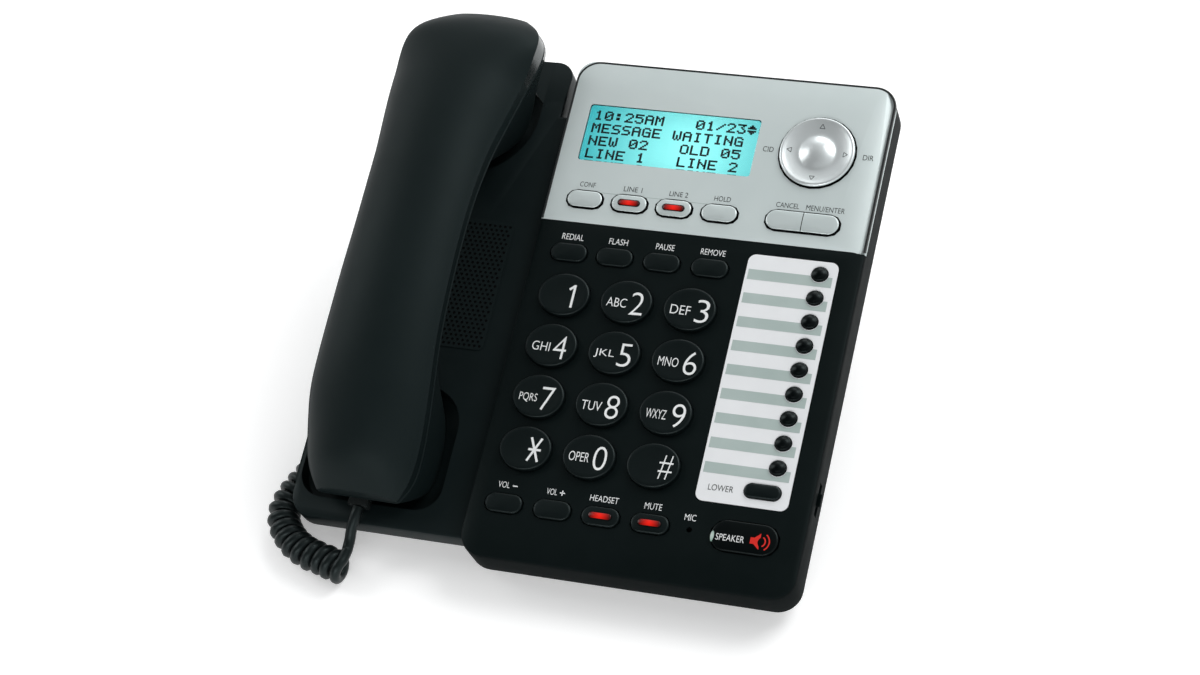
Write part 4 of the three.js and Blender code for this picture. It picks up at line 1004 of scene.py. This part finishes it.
def make_card():
    """The card with a hole for each key."""
    low, high = face_box("index_card")
    outlines = [rounded(low[0], high[0], low[1], high[1], CARD_RADIUS)]
    for node, outline in [*((f"memory_key_{k}", ellipse) for k in range(1, 10)), ("key_lower", bar)]:
        key_low, key_high = face_box(node)
        x, y, _ = middle_of(key_low, key_high)
        room = 2 * CARD_KEY_ROOM - 2 * FLANGE
        width, height = (key_high[k] - key_low[k] + room for k in (0, 1))
        outlines.append(outline(x, y, width, height, 0, 48))
    card = filled("index_card_skin", outlines, low[2], high[2], card_white)
    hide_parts("index_card")
    return card


def make_bands():
    """Nine printed bands on the card, each open round its key."""
    level = face_box("index_card")[1][2] + BAND_LIFT
    rings = []
    for number in range(1, 10):
        x, y, _ = middle_of(*face_box(f"memory_key_{number}"))
        left, right = x - BAND_ARCH, x + BAND_ARCH
        top, bottom = y - BAND_DROP, y - BAND_DROP - BAND_HEIGHT
        rings.append(quad(BAND_LEFT, left, bottom, top, level))
        rings.append(quad(right, BAND_RIGHT, bottom, top, level))
        for k in range(BAND_STEPS):
            a, b = (left + 2 * BAND_ARCH * i / BAND_STEPS for i in (k, k + 1))
            cut = y - sqrt(max(BAND_ARCH ** 2 - ((a + b) / 2 - x) ** 2, 0))
            if cut > bottom:
                rings.append(quad(a, b, bottom, min(cut, top), level))
    flat_rings("card_bands", rings, stripe_grey, "phone_base")


# The loudspeaker's grille

LAND_LEVEL = -6.0
GRILLE = (-62.0, -11.8, 83.0, 138.0)
GRILLE_PITCH, GRILLE_HOLE = 2.1, 1.25
# How far the first holes' middles are from the sheet's edge, and how near the others may come.
GRILLE_EDGE, GRILLE_NEAREST = 1.6, 1.2
# The dark sheet under the holes is painted shade for their depth: its inset, lift and corner radius.
SHADE_SHEET_INSET, SHADE_SHEET_LIFT, SHADE_SHEET_RADIUS = 0.5, 0.03, 2
SHEET_LIFT, SHEET_TOP, SHEET_RADIUS = 0.06, 0.28, 2.5


def make_grille():
    """A finely perforated sheet over a dark one, which stands for the shade inside the holes: painted shade."""
    x0, x1, y0, y1 = GRILLE
    row_pitch = GRILLE_PITCH * ROW_SHARE
    holes = []
    for j in range(int((y1 - y0 - 2 * GRILLE_NEAREST) / row_pitch) + 1):
        x = x1 - GRILLE_EDGE - GRILLE_PITCH / 2 * (j % 2)
        while x > x0 + GRILLE_NEAREST:
            y = y0 + GRILLE_EDGE + j * row_pitch
            holes.append(ellipse(x, y, GRILLE_HOLE, GRILLE_HOLE, 0, 8))
            x -= GRILLE_PITCH
    shade_sheet = rounded(x0 + SHADE_SHEET_INSET, x1 - SHADE_SHEET_INSET, y0 + SHADE_SHEET_INSET, y1 - SHADE_SHEET_INSET,
                    SHADE_SHEET_RADIUS, LAND_LEVEL + SHADE_SHEET_LIFT)
    flat_rings("grille_shade_sheet", [shade_sheet], screen_black, "phone_base")
    filled("speaker_grille", [rounded(x0, x1, y0, y1, SHEET_RADIUS), *holes],
           LAND_LEVEL + SHEET_LIFT, LAND_LEVEL + SHEET_TOP, satin_black)


# The navigation disc

DISC_FLANGE, DISC_FLANGE_HEIGHT, DISC_RADIUS = 16.2, 0.65, 14.6
# The radius and level of each ring, from the top of the disc's side to the middle of its dome.
DISC_CROWN = [(14.6, 0.75), (14.55, 1.1), (14.4, 1.38), (14.1, 1.55), (13.75, 1.6), (13.4, 1.52),
              (12.9, 1.32), (11.6, 0.98), (10.2, 0.66), (8.8, 0.42), (7.8, 0.34), (7.2, 0.4),
              (6.6, 0.62), (5.8, 1.0), (5.0, 1.36), (4.0, 1.76), (3.0, 2.05), (2.0, 2.25),
              (1.0, 2.36), (0.3, 2.4)]
ARROW_TAIL, ARROW_TIP, ARROW_HALF, ARROW_LINE, ARROW_LIFT = 10.2, 11.9, 1.0, 0.28, 0.04


def make_navigation():
    low, high = face_box("navigation_disc")
    x, y, _ = middle_of(low, high)
    ledge = low[2] + DISC_FLANGE_HEIGHT
    profile = [(DISC_FLANGE, low[2]), (DISC_FLANGE, ledge), (DISC_RADIUS, ledge), *DISC_CROWN]
    disc = solid("navigation_disc_skin", [ellipse(x, y, 2 * r, 2 * r, z, 96) for r, z in profile],
                 polished, "navigation_cap", 40)
    # The disc's flange and lower side are painted black for the shade in the gap round it: painted shade.
    paint_where(disc.data, screen_black, lambda middle, normal: middle.z < -0.5
                or middle.z < 0.3 and abs(normal.z) < 0.5)
    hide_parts("navigation_disc")
    marks = []
    for turn in range(4):
        a = radians(90 * turn)
        start, tip, end = (
            (x + r * cos(a) - s * sin(a), y + r * sin(a) + s * cos(a))
            for r, s in ((ARROW_TAIL, -ARROW_HALF), (ARROW_TIP, 0), (ARROW_TAIL, ARROW_HALF)))
        marks.append(strokes(((start, tip), (tip, end), (end, start)), ARROW_LINE))
    print_on("navigation_arrows", disc, marks, arrow_grey, "navigation_cap",
             ARROW_LIFT)


# Small pieces of the housing: the plate's dark rim, partly painted shade, the cradle's rear corner, the ringer

PLATE_FRONT = 138.6
# The rim's section: how far in from the console's outline it is, and its level.
RIM_SECTION = ((0.02, -1.2), (0.02, -0.35), (0.25, 0.03), (0.95, 0.07), (1.05, 0.0))
# The line's drop below the keys' rear edge, its reach past their round ends, width and level.
LINE_DROP, LINE_REACH, LINE_WIDTH, LINE_LEVEL = 0.3, 2.1, 0.22, 0.03
# The web's corners beside the post and the run of its long edge, then its floor, its top's lift
# over the land and how that top falls behind a place.
WEB_CORNERS = [(-12.0, 210.9), (-12.0, 189.6), (-13.2, 190.6)]
WEB_RUN_X, WEB_RUN_Y, WEB_STEPS = -19.6, 20.3, 8
WEB_FLOOR, WEB_LIFT, WEB_FALL, WEB_FALL_START, WEB_FALL_RUN = -14.4, 0.03, 3.2, 185, 26
WALL_FACE = 128.7
# Half lengths and half heights of the ringer's slide plate, its knob, the knob's outer end and
# the case behind them.
SLIDE, KNOB, KNOB_END, RINGER_CASE = (6.6, 2.9), (2.3, 1.2), (2.0, 0.95), (12, 4.2)
# How thick the plate is, how far the knob and its end stand out of the wall, and how far behind
# the plate the case begins and ends.
SLIDE_THICK, KNOB_REACH, KNOB_END_REACH, CASE_DEPTHS = 1.0, 1.0, 1.35, (1.4, 0.4)


def console_ring(inset, z):
    """The console's outline round the plate, moved in."""
    radius = CONSOLE_RADIUS - inset
    right, rear = (2 * half - inset for half in CONSOLE_HALVES)
    return [(right, PLATE_FRONT, z), *corner(right - radius, rear - radius, radius, 0, z, 12),
            *corner(inset + radius, rear - radius, radius, 90, z, 12), (inset, PLATE_FRONT, z)]


def make_key_line():
    """The fine line between the silver keys."""
    row = [face_box(f"key_{name}") for name in ("conference", "line_1", "line_2", "hold")]
    front, rear = row[0][0][1], row[-1][1][1]
    y = rear - FLANGE - LINE_DROP
    end = (rear - front) / 2 - LINE_REACH
    lines = [quad(left[1][0] - end, right[0][0] + end, y, y + LINE_WIDTH, LINE_LEVEL)
             for left, right in zip(row, row[1:])]
    flat_rings("key_row_line", lines, stripe_grey, "phone_base")


def make_plate_rim():
    """A dark edging along the plate's two sides and rear: partly the black housing rim, partly painted shade of
    the gap round the plate.
    """
    rows = [console_ring(inset, z) for inset, z in RIM_SECTION]
    count = len(rows[0])
    faces = [(start + k, start + k + 1, start + count + k + 1, start + count + k)
             for start in range(0, count * (len(rows) - 1), count) for k in range(count - 1)]
    mesh = mesh_from("plate_rim", [p for row in rows for p in row], faces)
    finish_piece("plate_rim", mesh, edge_painted_shade, "phone_base", 40)


def make_cradle_corner():
    """The web that closes the ear pocket's rear corner beside the post."""
    x0, y0 = WEB_CORNERS[-1]
    shares = [k / WEB_STEPS for k in range(1, WEB_STEPS + 1)]
    plan = [*WEB_CORNERS, *((x0 + WEB_RUN_X * s, y0 + WEB_RUN_Y * s) for s in shares)]
    low = [(x, y, WEB_FLOOR) for x, y in plan]
    high = [(x, y, LAND_LEVEL + WEB_LIFT - WEB_FALL * ((y - WEB_FALL_START) / WEB_FALL_RUN) ** 2)
            for x, y in plan]
    # The web takes the cradle's lighter copy of the black: painted light.
    solid("cradle_rear_corner", [low, high], cradle_painted_light_black, "phone_base", 30)


def make_ringer():
    """A small knob on its slide plate behind the wall, and the case behind both."""
    low, high = face_box("ringer_switch")
    _, y, z = middle_of(low, high)
    turn = FACE @ Matrix.Translation((0, y, z)) @ Matrix.Rotation(radians(90), 4, "Y")

    def rings(rows, radius):
        return [rounded(-half_z, half_z, -half_y, half_y, radius, x) for x, (half_y, half_z) in rows]
    inner = low[0] + SLIDE_THICK
    rows = ((low[0], SLIDE), (inner, SLIDE), (inner, KNOB), (WALL_FACE + KNOB_REACH, KNOB),
            (WALL_FACE + KNOB_END_REACH, KNOB_END))
    knob = solid("ringer_switch_skin", rings(rows, 0.5), side_black, "ringer_slider",
                 35, turn)
    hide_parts("ringer_switch")
    case = rings([(low[0] - depth, RINGER_CASE) for depth in CASE_DEPTHS], 1)
    solid("ringer_case", case, side_black, "phone_base", 35, turn)


# What the rear and the underside show

CONTACT_MIDDLES = (38.61, 64.35)
CONTACT_COUNT, CONTACT_PITCH, CONTACT_HALF, CONTACT_THICK = 6, 1.1, 0.2, 0.3
CONTACT_BENDS = ((164.0, -21.6), (172.0, -20.2), (178.0, -19.0), (179.0, -18.2))
PIN_PLACE = (90.09, 172, -22.05)
PIN_ROWS = ((1, 9), (1, 0.6), (0.6, 0), (0.1, 0))
# The stand's ribs, in metres: from its sides and foot, half widths at the ends and between them,
# how deep they root, how far they stand out, and the share of their width that is left there.
RIB_COUNT, RIB_MARGIN, RIB_FOOT, RIB_HEAD, RIB_END = 15, 0.012, 0.006, 0.034, 0.001
RIB_END_HALF, RIB_HALF, RIB_ROOT, RIB_REACH, RIB_TAPER = 0.0006, 0.0011, 0.001, 0.0007, 0.6
UNDERSIDE = -27.3
SCREW_PLACES = ((-49, 34), (103, 34), (-49, 163), (103, 78))
# The radius of each ring of a screw's head, and its level over the underside.
SCREW_ROWS = ((3.0, 0.2), (3.0, -0.25), (2.6, -0.55), (0.2, -0.7))
CROSS_ARMS, CROSS_LEVEL = ((1.7, 0.3), (0.3, 1.7)), -0.72
LABEL, LABEL_LEVELS = (-8, 52, 42, 74, 2), (0.05, -0.12)


def contact_strip(x):
    x0, x1 = x - CONTACT_HALF, x + CONTACT_HALF
    return [[(x0, y, z), (x1, y, z), (x1, y, z + CONTACT_THICK), (x0, y, z + CONTACT_THICK)]
            for y, z in CONTACT_BENDS]


def make_contacts():
    """The thin bent contacts of the two line sockets, and the power socket's pin."""
    for number, middle in enumerate(CONTACT_MIDDLES, 1):
        first = middle - (CONTACT_COUNT - 1) / 2 * CONTACT_PITCH
        strips = [contact_strip(first + k * CONTACT_PITCH) for k in range(CONTACT_COUNT)]
        name = f"line_contacts_{number}"
        finish_piece(name, loft(name, strips), gold, "phone_base")
    turn = FACE @ Matrix.Translation(PIN_PLACE) @ Matrix.Rotation(radians(90), 4, "X")
    solid("power_pin", [ellipse(0, 0, 2 * r, 2 * r, z, 24) for r, z in PIN_ROWS], steel,
          "phone_base", 40, turn)


def make_stand_ribs():
    """Upright ribs on the stand's rear face."""
    (x0, _, z0), (x1, y1, _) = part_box("desk_stand")
    foot, head = z0 + RIB_FOOT, z0 + RIB_HEAD
    levels = ((RIB_END_HALF, foot), (RIB_HALF, foot + RIB_END), (RIB_HALF, head - RIB_END),
              (RIB_END_HALF, head))
    root, front = y1 - RIB_ROOT, y1 + RIB_REACH
    ribs = []
    for k in range(RIB_COUNT):
        x = x0 + RIB_MARGIN + (x1 - x0 - 2 * RIB_MARGIN) * k / (RIB_COUNT - 1)
        ribs.append([[(x - half, root, z), (x + half, root, z), (x + half * RIB_TAPER, front, z),
                      (x - half * RIB_TAPER, front, z)] for half, z in levels])
    finish_piece("stand_ribs", loft("stand_ribs", ribs, Matrix.Identity(4)), underside_black,
                 "phone_base", 30)


def make_underside():
    """Four screws, each head with a flat dark cross for the shade in its recess (painted shade), and a blank
    label.
    """
    for number, (x, y) in enumerate(SCREW_PLACES, 1):
        head = [ellipse(x, y, 2 * r, 2 * r, UNDERSIDE + z, 28) for r, z in SCREW_ROWS]
        solid(f"base_screw_{number}", head, steel, "phone_base", 35)
        # The cross is a flat dark mark for the shade in the head's recess: painted shade.
        cross = [quad(x - a, x + a, y - b, y + b, UNDERSIDE + CROSS_LEVEL) for a, b in CROSS_ARMS]
        flat_rings(f"base_screw_cross_{number}", cross, screen_black, "phone_base")
    solid("blank_label", [rounded(*LABEL, UNDERSIDE + z) for z in LABEL_LEVELS], card_white,
          "phone_base", 40)


# The floor

FLOOR_HALF, FLOOR_LIFT = 5, 0.35


def brighten(material, amount):
    """Lifts the floor to white where it is seen, mirrored or seen through, and lights nothing."""
    tree = material.node_tree
    path = add_node(tree, "LightPath")
    total = path.outputs["Is Camera Ray"]
    for ray in ("Is Glossy Ray", "Is Transmission Ray"):
        both = add_node(tree, "Math", "ADD", Value=total)
        both.use_clamp = True
        tree.links.new(path.outputs[ray], both.inputs[1])
        total = both.outputs["Value"]
    scale = add_node(tree, "Math", "MULTIPLY", Value=total)
    scale.inputs[1].default_value = amount
    set_sockets(tree, tree.nodes["Principled BSDF"], {
        "Emission_Color": (1, 1, 1, 1), "Emission_Strength": scale.outputs["Value"]})


def set_floor():
    corners = quad(-FLOOR_HALF, FLOOR_HALF, -FLOOR_HALF, FLOOR_HALF, 0)
    mesh = plain_mesh("floor", corners, [(0, 1, 2, 3)], Matrix.Identity(4))
    paper = surface("floor_white", (0.93, 0.93, 0.93), (0.95, 0.95, 0.95), (0.85, 0.95), 400,
                    (0.05, 0.00002), 3, Specular_IOR_Level=0.1)
    brighten(paper, FLOOR_LIFT)
    wear(mesh, paper)
    add_object("floor", mesh)


set_camera()
set_lights()
set_floor()
make_cord()
paint_nodes()
skins = make_skins()
make_key_line()
make_plate_rim()
make_cradle_corner()
make_ringer()
make_handset()
make_keys()
make_navigation()
make_lettering(skins)
make_screen()
make_windows()
make_bands()
make_grille()
make_contacts()
make_stand_ribs()
make_underside()
